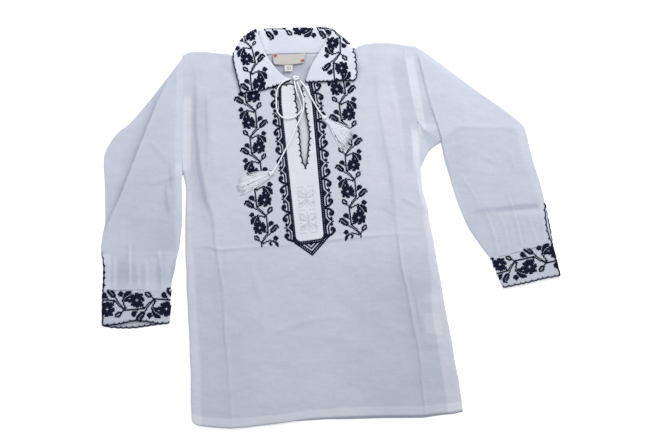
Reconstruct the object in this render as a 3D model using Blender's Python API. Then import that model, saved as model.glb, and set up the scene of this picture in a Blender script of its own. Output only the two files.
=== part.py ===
"""Child's embroidered cotton ie shirt, laid flat on its back.

The cloth is modelled as walls of even thickness.  Each wall is worked out from
short tables (millimetres, one named column each): outline edges, stations along
the sleeves and collar, and the pressed creases.  +X points to the right sleeve of
the picture plane, +Y to the collar and +Z up; the floor is z = 0.
"""
import math

import bpy
import bmesh
from mathutils import Vector
from mathutils.bvhtree import BVHTree

MM = 0.001

# driving sizes, millimetres
WALL = 1.1            # plain cotton, turned and pressed
LEAF_WALL = 1.4       # collar leaf, two cloths
STAND_WALL = 1.0
SEAM_GAP = 0.3
LAYER = WALL + SEAM_GAP
BACK_MID = WALL / 2
FRONT_EDGE_MID = BACK_MID + LAYER + 0.1
PUFF = 1.0            # how far the upper cloth rises between its edges
NECK_RAISE = LEAF_WALL + SEAM_GAP + 0.2
LEAF_UP = LEAF_WALL / 2 + WALL / 2 + SEAM_GAP + 0.4
SLEEVE_EDGE_R = 0.75  # bend of the sleeve cloth at its outline
HEM_TURN = 14.0
HEM_STEP = 0.35
CORD_R = 1.1
STRAND_R = 0.42
SCALLOP = 7.0         # one scallop of the cuff edge
SCALLOP_DEPTH = 1.1

SLOTS = {
    "cotton_body": (0.80, 0.83, 0.90),
    "cotton_back": (0.72, 0.75, 0.83),
    "cotton_sleeve": (0.79, 0.82, 0.89),
    "cotton_collar": (0.88, 0.90, 0.95),
    "cotton_cuff": (0.82, 0.85, 0.92),
    "cotton_facing": (0.92, 0.93, 0.97),
    "cord_white": (0.93, 0.93, 0.96),
    "label_cream": (0.86, 0.83, 0.78),
}

# outline tables: y -> x for the sides, x -> y for the top and the hem
LEFT_SIDE = (
    (258.0, -225.4), (247.0, -224.6), (187.0, -223.7), (124.0, -222.6),
    (92.0, -222.8), (76.0, -221.6), (62.0, -219.8), (47.0, -218.1),
    (17.0, -218.8), (-29.0, -218.0), (-59.0, -217.1), (-74.0, -215.4),
    (-103.0, -214.6), (-118.0, -212.9), (-148.0, -211.0), (-177.0, -208.8),
    (-206.0, -207.9), (-221.0, -206.2), (-264.0, -205.3), (-292.0, -203.2),
)
RIGHT_SIDE = (
    (278.0, 111.2), (156.0, 130.0), (109.0, 134.4), (78.0, 136.8),
    (62.0, 138.0), (47.0, 139.5), (32.0, 143.5), (17.0, 147.4),
    (1.0, 148.4), (-29.0, 154.6), (-59.0, 158.6), (-89.0, 164.1),
    (-118.0, 168.0), (-148.0, 173.4), (-177.0, 178.8), (-206.0, 182.7),
    (-235.0, 188.0), (-264.0, 191.8), (-290.0, 194.4),
)
FRONT_TOP = (
    (-226.0, 257.6), (-216.0, 265.0), (-191.0, 265.0), (-166.0, 262.0),
    (-155.0, 260.0), (-151.0, 255.0), (-122.5, 253.6), (-100.0, 260.0),
    (0.0, 262.0), (17.0, 262.0), (37.0, 263.0), (42.0, 271.0),
    (55.0, 276.0), (68.0, 278.0), (92.0, 278.0), (112.0, 275.6),
)
BACK_TOP = (
    (-226.0, 257.2), (-216.0, 264.6), (-191.0, 264.6), (-166.0, 261.6),
    (-155.0, 259.6), (-151.0, 253.6), (-122.5, 246.6), (-111.0, 250.0),
    (-98.0, 256.0), (-85.0, 257.9), (-54.0, 258.8), (-23.0, 259.5), (-4.0, 259.6), (7.5, 255.4),
    (17.0, 252.0), (37.0, 255.0), (42.0, 270.6), (55.0, 275.6),
    (68.0, 277.6), (92.0, 277.6), (112.0, 275.2),
)
FRONT_HEM = (
    (-204.0, -287.0), (-200.0, -296.0), (-192.0, -300.5), (-169.0, -303.0),
    (-145.5, -304.5), (-122.0, -303.0), (-99.0, -300.0), (-76.0, -297.5),
    (-52.6, -294.6), (-29.0, -291.7), (-6.0, -290.3), (29.0, -289.0),
    (75.0, -287.4), (134.0, -287.0), (157.0, -284.6), (180.0, -283.2),
    (192.0, -280.3),
)
BACK_HEM = (
    (-204.0, -286.0), (-200.0, -295.0), (-192.0, -299.5), (-145.5, -303.5),
    (-99.0, -299.5), (-52.6, -294.4), (-6.0, -291.4), (29.0, -291.2),
    (75.0, -289.8), (134.0, -289.4), (157.0, -286.0), (180.0, -283.6),
    (192.0, -280.6),
)

# pressed creases of the front: height, half width, then the line
CREASES = (
    (0.9, 3.0, ((-210, 231), (-204, 155), (-197, 93), (-187, 32), (-162, -118), (-151, -206), (-143, -300))),
    (0.9, 3.0, ((63, 253), (73, 173), (85, 130), (93, 78), (95, 8), (101, -27), (112, -112), (127, -183),
                (138, -285))),
    (0.6, 3.5, ((-209, -43), (-184, -38), (-164, -44), (-66, -36), (50, -24), (101, -20), (149, -23))),
    (0.5, 5.0, ((-89, -168), (-55, -155), (-28, -147), (21, -140))),
    (0.6, 4.0, ((105, 36), (131, 21))),
    (0.5, 5.0, ((-196, 218), (-178, 120), (-170, 40))),
    (0.5, 6.0, ((88, 226), (104, 150), (112, 84))),
    (1.7, 17.0, ((153, -110), (153, -195))),
)
LEFT_SLEEVE_CREASES = (
    (0.7, 2.6, ((-299, -36), (-296, -103))),
    (0.7, 2.6, ((-273, -66), (-270, -103))),
    (0.7, 2.6, ((-252, -52), (-248, -103))),
    (0.6, 2.6, ((-318, -58), (-318, -103))),
    (0.5, 3.5, ((-337, -47), (-284, -51), (-221, -50))),
    (0.6, 4.0, ((-256, 190), (-262, 120), (-262, 60))),
)
RIGHT_SLEEVE_CREASES = (
    (0.7, 3.0, ((206, 57), (222, 11), (239, -33), (250, -56))),
    (0.7, 3.0, ((252, 62), (271, 26), (280, -14), (290, -44))),
    (0.6, 3.0, ((225, -2), (254, -44), (262, -52))),
    (0.6, 3.0, ((297, 9), (311, -38))),
    (0.5, 3.5, ((207, 12), (255, 15), (313, 23))),
    (0.6, 5.0, ((293, 143), (258, 109), (212, 85))),
)

# sleeve stations: outer edge point, inner edge point of the outline
LEFT_STATIONS = (
    (-225.9, 257.2, -224.6, 72.0), (-240.0, 238.0, -225.0, 60.0), (-258.0, 212.6, -224.6, 48.0),
    (-279.5, 183.0, -224.2, 34.0), (-303.0, 153.6, -223.8, 20.0), (-326.0, 134.0, -223.4, 6.0),
    (-341.8, 109.0, -223.5, -6.0), (-344.5, 90.0, -224.2, -16.0), (-341.6, 69.0, -225.2, -28.0),
    (-340.0, 45.0, -226.2, -40.0), (-338.8, 20.0, -228.2, -50.0), (-338.6, -2.0, -230.4, -60.0),
    (-341.6, -24.0, -231.6, -71.0), (-342.6, -46.0, -233.2, -80.0), (-339.6, -70.0, -234.4, -88.0),
    (-338.0, -88.0, -235.0, -95.0), (-337.2, -103.7, -235.2, -99.9),
)
# the fold on the left sleeve: its upper cloth stops along this line
LEFT_FOLD = ((-243, 234), (-249, 216), (-274, 165), (-290, 108), (-307, 62), (-319, 33), (-334, -3), (-343, -22))
FOLD_RISE = 1.5
RIGHT_STATIONS = (
    (112.2, 275.2, 130.6, 156.0), (120.0, 272.8, 148.0, 134.0), (129.5, 268.8, 162.6, 126.4),
    (133.0, 267.4, 168.0, 122.0), (146.0, 260.8, 170.6, 108.0), (163.0, 248.6, 173.4, 92.0),
    (183.0, 233.4, 177.6, 77.0), (203.0, 217.6, 181.8, 62.0), (224.0, 201.4, 186.0, 47.0),
    (246.0, 185.6, 190.4, 32.0), (266.0, 169.6, 196.0, 17.0), (285.0, 154.0, 201.8, 1.5),
    (297.4, 136.0, 206.6, -9.0), (302.6, 112.0, 211.6, -17.6), (307.6, 88.0, 216.4, -25.0),
    (314.4, 66.0, 220.8, -31.4), (321.0, 42.0, 225.6, -38.4), (325.6, 19.0, 230.4, -45.4),
    (328.6, -6.0, 235.0, -51.2), (330.6, -32.2, 239.4, -55.2),
)
RIGHT_STEP = 2        # station where the upper cloth steps up on to its fold

# cuffs: top outer, top inner, bottom outer, bottom inner of the folded band
LEFT_CUFF = ((-337.2, -104.2), (-234.6, -100.4), (-335.4, -156.4), (-233.8, -152.2))
RIGHT_CUFF = ((331.0, -32.8), (239.8, -55.8), (341.6, -82.2), (258.4, -101.6))

# collar leaf stations: roll line point, outer edge point, bow of the line between
LEFT_LEAF = (
    (-61.0, 218.6, -136.0, 199.6, -3.6), (-70.0, 223.0, -138.0, 207.0, -1.6),
    (-78.0, 229.0, -140.4, 216.0, 0.0), (-86.0, 239.0, -143.2, 227.0, 0.0),
    (-94.0, 250.0, -146.2, 238.0, 0.0), (-101.0, 262.0, -147.8, 246.0, 0.0),
    (-106.4, 275.0, -148.4, 252.0, 0.0), (-111.0, 290.6, -147.6, 256.4, 0.0),
)
RIGHT_LEAF = (
    (-38.0, 216.6, 37.0, 217.4, -1.6), (-33.0, 230.0, 40.4, 224.6, 0.0),
    (-28.0, 241.0, 40.0, 233.0, 0.0), (-21.5, 252.0, 39.2, 241.0, 0.0),
    (-14.0, 264.5, 38.6, 249.0, 0.0), (-6.5, 277.0, 37.8, 256.0, 0.0),
    (0.6, 290.6, 35.0, 262.0, 0.0),
)
LEFT_LEAF_FOLD = ((-113.0, 298.4), (-122.5, 294.0), (-134.5, 285.0), (-143.0, 272.0), (-149.4, 260.0))
RIGHT_LEAF_FOLD = ((4.2, 303.4), (8.5, 295.0), (14.6, 289.4), (28.4, 276.8), (36.8, 268.0))
UNDER_LEAF = (
    (-109.2, 297.0, -145.4, 256.2), (-107.0, 298.2, -140.0, 253.6), (-98.0, 299.2, -122.0, 253.0),
    (-77.0, 300.0, -92.0, 253.0), (-51.0, 300.8, -56.0, 253.4), (-24.0, 301.6, -22.0, 254.0),
    (-4.0, 302.2, 10.0, 255.6), (-1.8, 301.8, 25.0, 258.0), (-0.4, 300.8, 32.0, 263.0),
)
# collar stand, one stretch a table: neck seam point, top point
STAND_BACK = (
    (-115.4, 256.0, -109.4, 291.0), (-108.0, 257.4, -101.0, 298.6), (-85.0, 259.9, -77.0, 299.8),
    (-54.0, 260.7, -51.0, 300.6), (-23.0, 261.4, -24.0, 301.4), (-1.0, 262.4, -7.0, 300.8),
    (9.0, 262.8, -2.6, 291.0),
)
STAND_LEFT = (
    (-62.6, 217.0, -62.2, 220.4), (-71.0, 217.4, -71.0, 223.4), (-82.0, 221.6, -79.0, 230.0),
    (-94.0, 231.0, -87.4, 241.0), (-106.0, 241.6, -95.4, 251.6), (-113.4, 247.8, -102.0, 263.0),
    (-117.6, 252.0, -107.0, 275.0),
)
STAND_RIGHT = (
    (12.6, 257.8, -5.6, 277.6), (8.4, 253.4, -13.6, 265.6), (1.6, 246.4, -21.0, 253.4),
    (-8.6, 235.6, -27.4, 242.4), (-22.4, 224.4, -32.6, 231.6), (-35.0, 216.4, -36.6, 219.6),
)
NECK_CUT = (
    (-119.6, 290.0), (-119.4, 253.0), (-114.2, 248.3), (-106.6, 241.9), (-94.5, 231.2), (-82.2, 221.7),
    (-71.0, 217.1), (-60.0, 216.8), (-53.8, 208.7), (-53.6, 186.7), (-50.2, 169.7), (-50.0, 151.0),
    (-47.9, 137.5), (-46.2, 117.3), (-44.4, 98.8), (-41.2, 87.1), (-37.4, 80.4), (-35.0, 84.0),
    (-33.0, 97.1), (-31.4, 113.9), (-30.4, 134.1), (-33.2, 152.7), (-36.5, 171.3), (-39.4, 186.7),
    (-42.8, 208.0), (-40.0, 216.2), (-34.6, 216.0), (-21.8, 224.2), (-8.2, 235.2), (2.0, 246.1),
    (10.0, 254.3), (14.8, 260.9), (16.6, 290.0),
)
FACING = (
    (207.0, -74.4, -26.6), (180.0, -73.8, -27.5), (130.0, -68.2, -23.3), (80.0, -62.6, -18.9),
    (30.0, -57.0, -14.5), (-10.0, -52.6, -11.0), (-22.0, -51.2, -9.9), (-27.0, -49.0, -12.0),
    (-30.0, -43.0, -18.0),
)

# right gusset: a row from the body's edge to the gusset's own folded edge
GUSSET = (
    (131.6, 149.5, 133.6, 148.4), (132.4, 138.0, 145.0, 136.0), (133.2, 128.0, 157.5, 127.0),
    (134.0, 119.0, 166.0, 120.4), (134.8, 110.5, 157.0, 113.0), (135.6, 101.0, 149.0, 105.0),
    (136.4, 91.0, 142.8, 94.0), (137.1, 81.0, 138.8, 82.5),
)

CORDS = (
    ("tie_loop", ((-54.6, 214.5), (-51.0, 198.0), (-45.4, 182.0), (-43.8, 168.0), (-55.0, 158.0),
                  (-70.0, 156.8), (-79.6, 166.3), (-82.0, 183.5), (-80.6, 201.0), (-72.0, 212.6), (-60.6, 218.0)),
     0.0),
    ("tie_end_left", ((-50.2, 214.0), (-46.0, 202.0), (-40.6, 186.0), (-40.4, 171.0), (-46.3, 154.4),
                      (-53.7, 137.5), (-61.8, 118.9), (-68.4, 105.6), (-77.2, 88.4), (-84.0, 77.6)), 2.6),
    ("tie_end_right", ((-45.8, 215.6), (-36.6, 203.6), (-26.1, 184.0), (-16.4, 167.3), (-12.4, 162.4)), 0.0),
)
# tassels: head x, y, then the two corners of the fanned end
TASSELS = (
    ("tassel_left", (-87.6, 72.4), (-136.6, 68.0), (-134.0, 41.0)),
    ("tassel_right", (-8.6, 157.6), (27.0, 141.6), (18.4, 105.6)),
)
STRANDS = 11

for old in list(bpy.data.objects):
    bpy.data.objects.remove(old, do_unlink=True)


def read(table, at):
    """Value of a two-column table at a place along it, straight between rows."""
    rows = sorted(table)
    if at <= rows[0][0]:
        return rows[0][1]
    for (a, va), (b, vb) in zip(rows, rows[1:]):
        if at <= b:
            return va + (vb - va) * (at - a) / (b - a)
    return rows[-1][1]


def smooth(t):
    """Ease from 0 to 1."""
    t = min(1.0, max(0.0, t))
    return t * t * (3 - 2 * t)


def to_line(x, y, line):
    """Distance to a polyline and the share of its length at the nearest point."""
    best, share, run = 1e9, 0.0, 0.0
    total = sum(math.dist(a, b) for a, b in zip(line, line[1:]))
    for a, b in zip(line, line[1:]):
        dx, dy = b[0] - a[0], b[1] - a[1]
        span = math.hypot(dx, dy)
        t = min(1.0, max(0.0, ((x - a[0]) * dx + (y - a[1]) * dy) / (span * span)))
        gap = math.hypot(x - a[0] - t * dx, y - a[1] - t * dy)
        if gap < best:
            best, share = gap, (run + t * span) / total
        run += span
    return best, share


def ridges(x, y, creases):
    """Height added by soft creases, fading out at both ends of each line."""
    rise = 0.0
    for high, half, line in creases:
        gap, share = to_line(x, y, line)
        ends = smooth(share * 6) * smooth((1 - share) * 6)
        rise += high * ends * math.exp(-(gap / half) ** 2)
    return rise


def neck_raise(x, y):
    """The panels climb over the part of the collar leaf that lies under them."""
    across = smooth((x + 172) / 16) * smooth((62 - x) / 16)
    return NECK_RAISE * across * smooth((y - 230) / 12)


def armhole_swell(y, low, high):
    """Rise of the upper cloth along an armhole seam, none at its two ends."""
    t = min(1.0, max(0.0, (y - low) / (high - low)))
    return PUFF * math.sin(math.pi * t) ** 0.7


def front_mid(x, y):
    """Middle of the front panel's wall."""
    left, right = read(LEFT_SIDE, y), read(RIGHT_SIDE, y)
    t = min(1.0, max(0.0, (x - left) / (right - left)))
    inner = smooth(min(t, 1 - t) * 9)
    ends = armhole_swell(y, 72, 258) * (1 - t) + armhole_swell(y, 120, 276) * t
    top = smooth((read(FRONT_TOP, x) - y) / 26 + 0.02)
    hem = smooth((y - read(FRONT_HEM, x)) / 40) * 0.5 + 0.5
    rise = (ends * (1 - inner) + PUFF * inner * 1.1) * top * hem
    turned = HEM_STEP * smooth((HEM_TURN + 1.5 - (y - read(FRONT_HEM, x))) / 2.0)
    return FRONT_EDGE_MID + rise + turned + ridges(x, y, CREASES) * top + neck_raise(x, y)


def material(slot):
    """One cloth or cord material per slot."""
    mat = bpy.data.materials.get(slot)
    if mat is None:
        mat = bpy.data.materials.new(slot)
        mat.use_nodes = True
        shader = mat.node_tree.nodes["Principled BSDF"]
        shader.inputs["Base Color"].default_value = (*SLOTS[slot], 1.0)
        shader.inputs["Roughness"].default_value = 0.85
    return mat


def put(name, bm, slot):
    """Turn a bmesh into a named object in the scene."""
    mesh = bpy.data.meshes.new(name)
    bm.to_mesh(mesh)
    bm.free()
    obj = bpy.data.objects.new(name, mesh)
    bpy.context.scene.collection.objects.link(obj)
    obj.data.materials.append(material(slot))
    return obj


def apply(obj, mod):
    """Apply one modifier."""
    bpy.ops.object.select_all(action="DESELECT")
    obj.select_set(True)
    bpy.context.view_layer.objects.active = obj
    bpy.ops.object.modifier_apply(modifier=mod.name)


def wall(name, rows, slot, thick=WALL, ring=False):
    """A cloth wall of even thickness about a grid of mid-surface points."""
    bm = bmesh.new()
    grid = [[bm.verts.new(Vector(p) * MM) for p in row] for row in rows]
    count = len(grid[0])
    for low, high in zip(grid, grid[1:]):
        for k in range(count if ring else count - 1):
            m = (k + 1) % count
            bm.faces.new((low[k], low[m], high[m], high[k]))
    bmesh.ops.recalc_face_normals(bm, faces=bm.faces)
    obj = put(name, bm, slot)
    mod = obj.modifiers.new("cloth", "SOLIDIFY")
    mod.thickness = thick * MM
    mod.offset = 0.0
    apply(obj, mod)
    for v in obj.data.vertices:
        v.co.z = max(0.0, v.co.z)
    return obj


def prism(name, outline, low, high):
    """A straight-sided cutter over a plan outline."""
    bm = bmesh.new()
    base = [bm.verts.new(Vector((x, y, low)) * MM) for x, y in outline]
    face = bm.faces.new(base)
    lifted = bmesh.ops.extrude_face_region(bm, geom=[face])["geom"]
    moved = [v for v in lifted if isinstance(v, bmesh.types.BMVert)]
    bmesh.ops.translate(bm, verts=moved, vec=Vector((0, 0, (high - low) * MM)))
    bmesh.ops.recalc_face_normals(bm, faces=bm.faces)
    cutter = put(name, bm, "cotton_body")
    cutter.hide_render = True
    cutter.display_type = "WIRE"
    return cutter


def boolean(obj, other, operation):
    """Join with, or cut by, another closed solid, which is then removed."""
    mod = obj.modifiers.new("shape", "BOOLEAN")
    mod.solver = "EXACT"
    mod.operation = operation
    mod.object = other
    apply(obj, mod)
    bpy.data.objects.remove(other, do_unlink=True)


def panel_rows(top, hem, mid, cols, down):
    """Grid of a body panel between its two side edges, its top and its hem."""
    grid = []
    for v in down:
        left = read(LEFT_SIDE, 258 + (-290 - 258) * v)
        right = read(RIGHT_SIDE, 276 + (-282 - 276) * v)
        line = []
        for j in range(cols + 1):
            x = left + (right - left) * j / cols
            y = read(top, x) * (1 - v) + read(hem, x) * v
            line.append((x, y, mid(x, y)))
        grid.append(line)
    return grid


# back panel: one flat cloth on the floor, raised at the neck over the collar leaf
BACK_DOWN = (0.0, 0.015, 0.03, 0.045, 0.06, 0.09, 0.14, 0.22, 0.30, 0.38, 0.46, 0.55, 0.65, 0.75, 0.85,
             0.93, 0.98, 1.0)
wall("back_panel", panel_rows(BACK_TOP, BACK_HEM, lambda x, y: BACK_MID + neck_raise(x, y), 24, BACK_DOWN),
     "cotton_back")

# front panel: lies on the back, with its neckline and front slit cut through
FRONT_DOWN = [0.0, 0.015, 0.03, 0.045, 0.06] + [0.06 + 0.91 * k / 26 for k in range(1, 27)] + [0.975, 1.0]
front = wall("front_panel", panel_rows(FRONT_TOP, FRONT_HEM, front_mid, 30, FRONT_DOWN), "cotton_body")
boolean(front, prism("neck_cut", NECK_CUT, -5, 40), "DIFFERENCE")

# facing: a narrow white panel sewn over the slit
facing_rows = []
for k, (y, left, right) in enumerate(FACING):
    facing_rows.append([(left + (right - left) * j / 8, y,
                         front_mid(left + (right - left) * j / 8, y) + LAYER + 0.25) for j in range(9)])
facing = wall("front_facing", facing_rows, "cotton_facing")
boolean(facing, prism("slit_cut", NECK_CUT, -5, 40), "DIFFERENCE")


def slant(points, k, along):
    """How much longer an edge bend is along the section than square to the edge."""
    a, b = points[max(0, k - 1)], points[min(len(points) - 1, k + 1)]
    run = Vector((b[0] - a[0], b[1] - a[1])).normalized()
    return 1.0 / max(0.12, abs(run.x * along.y - run.y * along.x))


def sleeve_ring(stations, k, upper, low_cols=4, up_cols=14):
    """Closed section of a sleeve laid flat: flat below, bent at both edges."""
    outer, inner = stations[k][:2], stations[k][2:]
    flat = Vector((outer[0] - inner[0], outer[1] - inner[1], 0))
    span = flat.length
    along = flat / span
    far = slant([s[:2] for s in stations], k, along)
    near = slant([s[2:] for s in stations], k, along)
    start, stop = (WALL / 2 + SLEEVE_EDGE_R) * near, span - (WALL / 2 + SLEEVE_EDGE_R) * far
    base = Vector((inner[0], inner[1], 0))
    places = []
    for n in range(low_cols + 1):
        places.append((start + (stop - start) * n / low_cols, BACK_MID))
    for turn in (-45, 0, 45):
        places.append((stop + far * SLEEVE_EDGE_R * math.cos(math.radians(turn)),
                       BACK_MID + SLEEVE_EDGE_R * (1 + math.sin(math.radians(turn)))))
    for n in range(up_cols + 1):
        t = 1 - n / up_cols
        p = base + along * (start + (stop - start) * t)
        places.append((start + (stop - start) * t, BACK_MID + 2 * SLEEVE_EDGE_R + upper(p.x, p.y, t)))
    for turn in (45, 0, -45):
        places.append((start - near * SLEEVE_EDGE_R * math.cos(math.radians(turn)),
                       BACK_MID + SLEEVE_EDGE_R * (1 + math.sin(math.radians(turn)))))
    ring = []
    for s, z in places:
        p = base + along * s
        ring.append((p.x, p.y, z))
    return ring


def beyond_fold(x, y):
    """How far a point lies on the low side of the left sleeve's fold, in mm."""
    gap, share = to_line(x, y, LEFT_FOLD)
    line_x = read([(b, a) for a, b in LEFT_FOLD], y)
    side = 1 if x < line_x else -1
    return gap * side, share


def left_upper(x, y, t):
    """Upper cloth of the left sleeve, stepped along its long fold."""
    arch = math.sin(math.pi * t) ** 0.7
    gap, share = beyond_fold(x, y)
    step = FOLD_RISE * smooth(share * 5) * smooth((1 - share) * 4)
    lift = step * (1 - smooth((gap + 1.5) / 3.0)) * (1 - smooth((-gap - 40) / 60))
    flat_part = 0.35 if gap > 0 else 1.0
    return (PUFF * (flat_part if share < 0.98 else 1.0) * arch + lift
            + ridges(x, y, LEFT_SLEEVE_CREASES) * min(1.0, 6 * arch))


def right_upper(x, y, t):
    """Upper cloth of the right sleeve past its fold."""
    arch = math.sin(math.pi * t) ** 0.7
    return PUFF * arch * 1.2 + ridges(x, y, RIGHT_SLEEVE_CREASES) * min(1.0, 6 * arch)


left_rings = [sleeve_ring(LEFT_STATIONS, k, left_upper) for k in range(len(LEFT_STATIONS))]
sleeve_left = wall("sleeve_left", left_rings, "cotton_sleeve", ring=True)

right_rings = []
for n in range(len(RIGHT_STATIONS)):
    if n <= RIGHT_STEP:
        right_rings.append(sleeve_ring(RIGHT_STATIONS, n, lambda x, y, t: PUFF * math.sin(math.pi * t) ** 0.7))
    else:
        high = 1.4 * smooth((8 - n) / 5)
        right_rings.append(sleeve_ring(
            RIGHT_STATIONS, n,
            lambda x, y, t, h=high: right_upper(x, y, t) + h * math.sin(math.pi * t) ** 0.5))
sleeve_right = wall("sleeve_right", right_rings, "cotton_sleeve", ring=True)


def cuff(name, corners, inner_first):
    """Band folded in two at the inner edge, open at the slit, edge scalloped."""
    top_out, top_in, low_out, low_in = [Vector(c) for c in corners]
    cols = 26
    rows = []
    for v in (0.0, 0.5, 0.93, 1.0):
        a = top_out.lerp(low_out, v)
        b = top_in.lerp(low_in, v)
        down = (low_out - top_out).normalized()
        span = (b - a).length
        along = (b - a) / span
        tuck = WALL / 2 + SLEEVE_EDGE_R
        line = []
        for layer in (1, 0):
            order = range(cols + 1) if layer else range(cols, -1, -1)
            for k in order:
                s = WALL / 2 + (span - WALL / 2 - tuck) * k / cols
                wave = 0.0
                if v == 1.0:
                    wave = SCALLOP_DEPTH * abs(math.sin(math.pi * s / SCALLOP + layer)) - SCALLOP_DEPTH
                p = a + along * s + down * wave
                z = BACK_MID + 2 * SLEEVE_EDGE_R * layer
                line.append((p.x, p.y, z))
            if layer:
                for turn in (45, 0, -45):
                    s = span - tuck + SLEEVE_EDGE_R * math.cos(math.radians(turn))
                    p = a + along * s
                    line.append((p.x, p.y, BACK_MID + SLEEVE_EDGE_R * (1 + math.sin(math.radians(turn)))))
        rows.append(line)
    return wall(name, rows, "cotton_cuff")


cuff("cuff_left", LEFT_CUFF, False)
cuff("cuff_right", RIGHT_CUFF, False)


def fold_station(fold, turn, radius, low_mid):
    """Points of the collar leaf where it bends round its shoulder fold."""
    pts = [Vector(p) for p in fold]
    inset = LEAF_WALL / 2 + radius
    centre = Vector((-55.0, 235.0))
    length = sum((b - a).length for a, b in zip(pts, pts[1:]))
    line = []
    for k in range(9):
        want, run = length * k / 8, 0.0
        for a, b in zip(pts, pts[1:]):
            step = (b - a).length
            if want <= run + step + 1e-6:
                p = a.lerp(b, min(1.0, (want - run) / step))
                break
            run += step
        ahead = (pts[-1] - pts[0]).normalized()
        out = Vector((ahead.y, -ahead.x))
        if out.dot(p - centre) < 0:
            out = -out
        q = p - out * (inset - radius * math.cos(math.radians(turn)))
        line.append((q.x, q.y, low_mid + radius * (1 + math.sin(math.radians(turn)))))
    return line


def leaf_station(row, mid):
    """One line of the collar leaf from its roll to its outer edge."""
    bow = row[4] if len(row) > 4 else 0.0
    line = []
    for k in range(9):
        t = k / 8
        x = row[0] + (row[2] - row[0]) * t
        y = row[1] + (row[3] - row[1]) * t + bow * math.sin(math.pi * t)
        line.append((x, y, mid(x, y)))
    return line


def leaf_top(x, y):
    """Middle of the leaf where it lies on the front."""
    return max(front_mid(x, min(y, 250.0)), FRONT_EDGE_MID + 0.2 + NECK_RAISE * smooth((y - 212) / 14)) + LEAF_UP


def leaf_under(x, y):
    """Middle of the leaf where it lies on the floor."""
    return LEAF_WALL / 2


# collar leaf: on the front at both sides, folded round and under the back between
neck_level = FRONT_EDGE_MID + NECK_RAISE
fold_r = (neck_level + LEAF_UP - LEAF_WALL / 2) / 2
leaf_rows = [leaf_station(r, leaf_top) for r in LEFT_LEAF]
for turn in (60, 20, -20, -60):
    leaf_rows.append(fold_station(LEFT_LEAF_FOLD, turn, fold_r, LEAF_WALL / 2))
leaf_rows += [leaf_station(r, leaf_under) for r in UNDER_LEAF]
for turn in (-60, -20, 20, 60):
    leaf_rows.append(fold_station(RIGHT_LEAF_FOLD, turn, fold_r, LEAF_WALL / 2))
leaf_rows += [leaf_station(r, leaf_top) for r in reversed(RIGHT_LEAF)]
wall("collar_leaf", leaf_rows, "cotton_collar", thick=LEAF_WALL)


def stand(name, table, on_front):
    """One stretch of the collar stand, from the neck seam up to the leaf."""
    rows = []
    for nx, ny, fx, fy in table:
        level = NECK_RAISE + STAND_WALL / 2
        if on_front:
            level = max(front_mid(nx, ny), front_mid(fx, min(fy, 250.0)))
        inset = 1.0 / math.dist((nx, ny), (fx, fy))
        line = []
        for k in range(5):
            t = inset + k / 4 * (1 - inset)
            line.append((nx + (fx - nx) * t, ny + (fy - ny) * t, level))
        rows.append(line)
    wall(name, rows, "cotton_collar", thick=STAND_WALL)


stand("collar_stand", STAND_BACK, False)
stand("collar_stand_left", STAND_LEFT, True)
stand("collar_stand_right", STAND_RIGHT, True)

# underarm gussets: the right one shows as a folded square, the left is tucked in
gusset_rows = []
for ox, oy, ix, iy in GUSSET:
    gusset_rows.append([(ox + (ix - ox) * t, oy + (iy - oy) * t, BACK_MID + 0.3 * math.sin(math.pi * t))
                        for t in (0, 0.25, 0.5, 0.75, 1)])
wall("gusset_right", gusset_rows, "cotton_sleeve")
wall("gusset_left", [[(-224.3, 57.5, BACK_MID), (-220.9, 57.5, BACK_MID)],
                     [(-224.3, 64.0, BACK_MID), (-221.1, 64.0, BACK_MID)],
                     [(-223.9, 69.6, BACK_MID), (-222.6, 69.6, BACK_MID)]], "cotton_sleeve")


def surfaces():
    """All cloth walls as one search tree, for laying things on top of them."""
    verts, faces = [], []
    for obj in bpy.data.objects:
        start = len(verts)
        verts += [v.co.copy() for v in obj.data.vertices]
        faces += [[start + i for i in p.vertices] for p in obj.data.polygons]
    return BVHTree.FromPolygons(verts, faces)


def top_at(tree, x, y, reach):
    """Highest cloth within reach of a point."""
    best = 0.0
    for dx, dy in ((0, 0), (1, 0), (-1, 0), (0, 1), (0, -1), (0.7, 0.7), (-0.7, 0.7), (0.7, -0.7), (-0.7, -0.7)):
        hit = tree.ray_cast(Vector((x + dx * reach, y + dy * reach, 60)) * MM, Vector((0, 0, -1)))[0]
        if hit is not None:
            best = max(best, hit.z / MM)
    return best


def block(name, at, size, slot, turn=0.0):
    """A flat sewn-on tab."""
    bpy.ops.mesh.primitive_cube_add(size=1, location=Vector(at) * MM, rotation=(0, 0, math.radians(turn)))
    obj = bpy.context.object
    obj.name = name
    obj.scale = Vector(size) * MM
    bpy.ops.object.transform_apply(location=True, rotation=True, scale=True)
    obj.data.materials.append(material(slot))
    return obj


tree = surfaces()
label_z = top_at(tree, -63, 252, 20)
stand_top = NECK_RAISE + WALL
block("neck_label", (-61.6, 250.0, stand_top + 1.1), (49.6, 15.0, 1.0), "label_cream")
block("size_label", (-63.0, 235.8, stand_top + 0.9), (13.0, 11.0, 1.0), "label_cream")
block("care_label", (152.8, -152.6, WALL + SEAM_GAP + 0.5), (16.0, 28.0, 1.0), "label_cream")

# tie: loop, two free ends and the knot that holds them at the neck
tree = surfaces()


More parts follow.
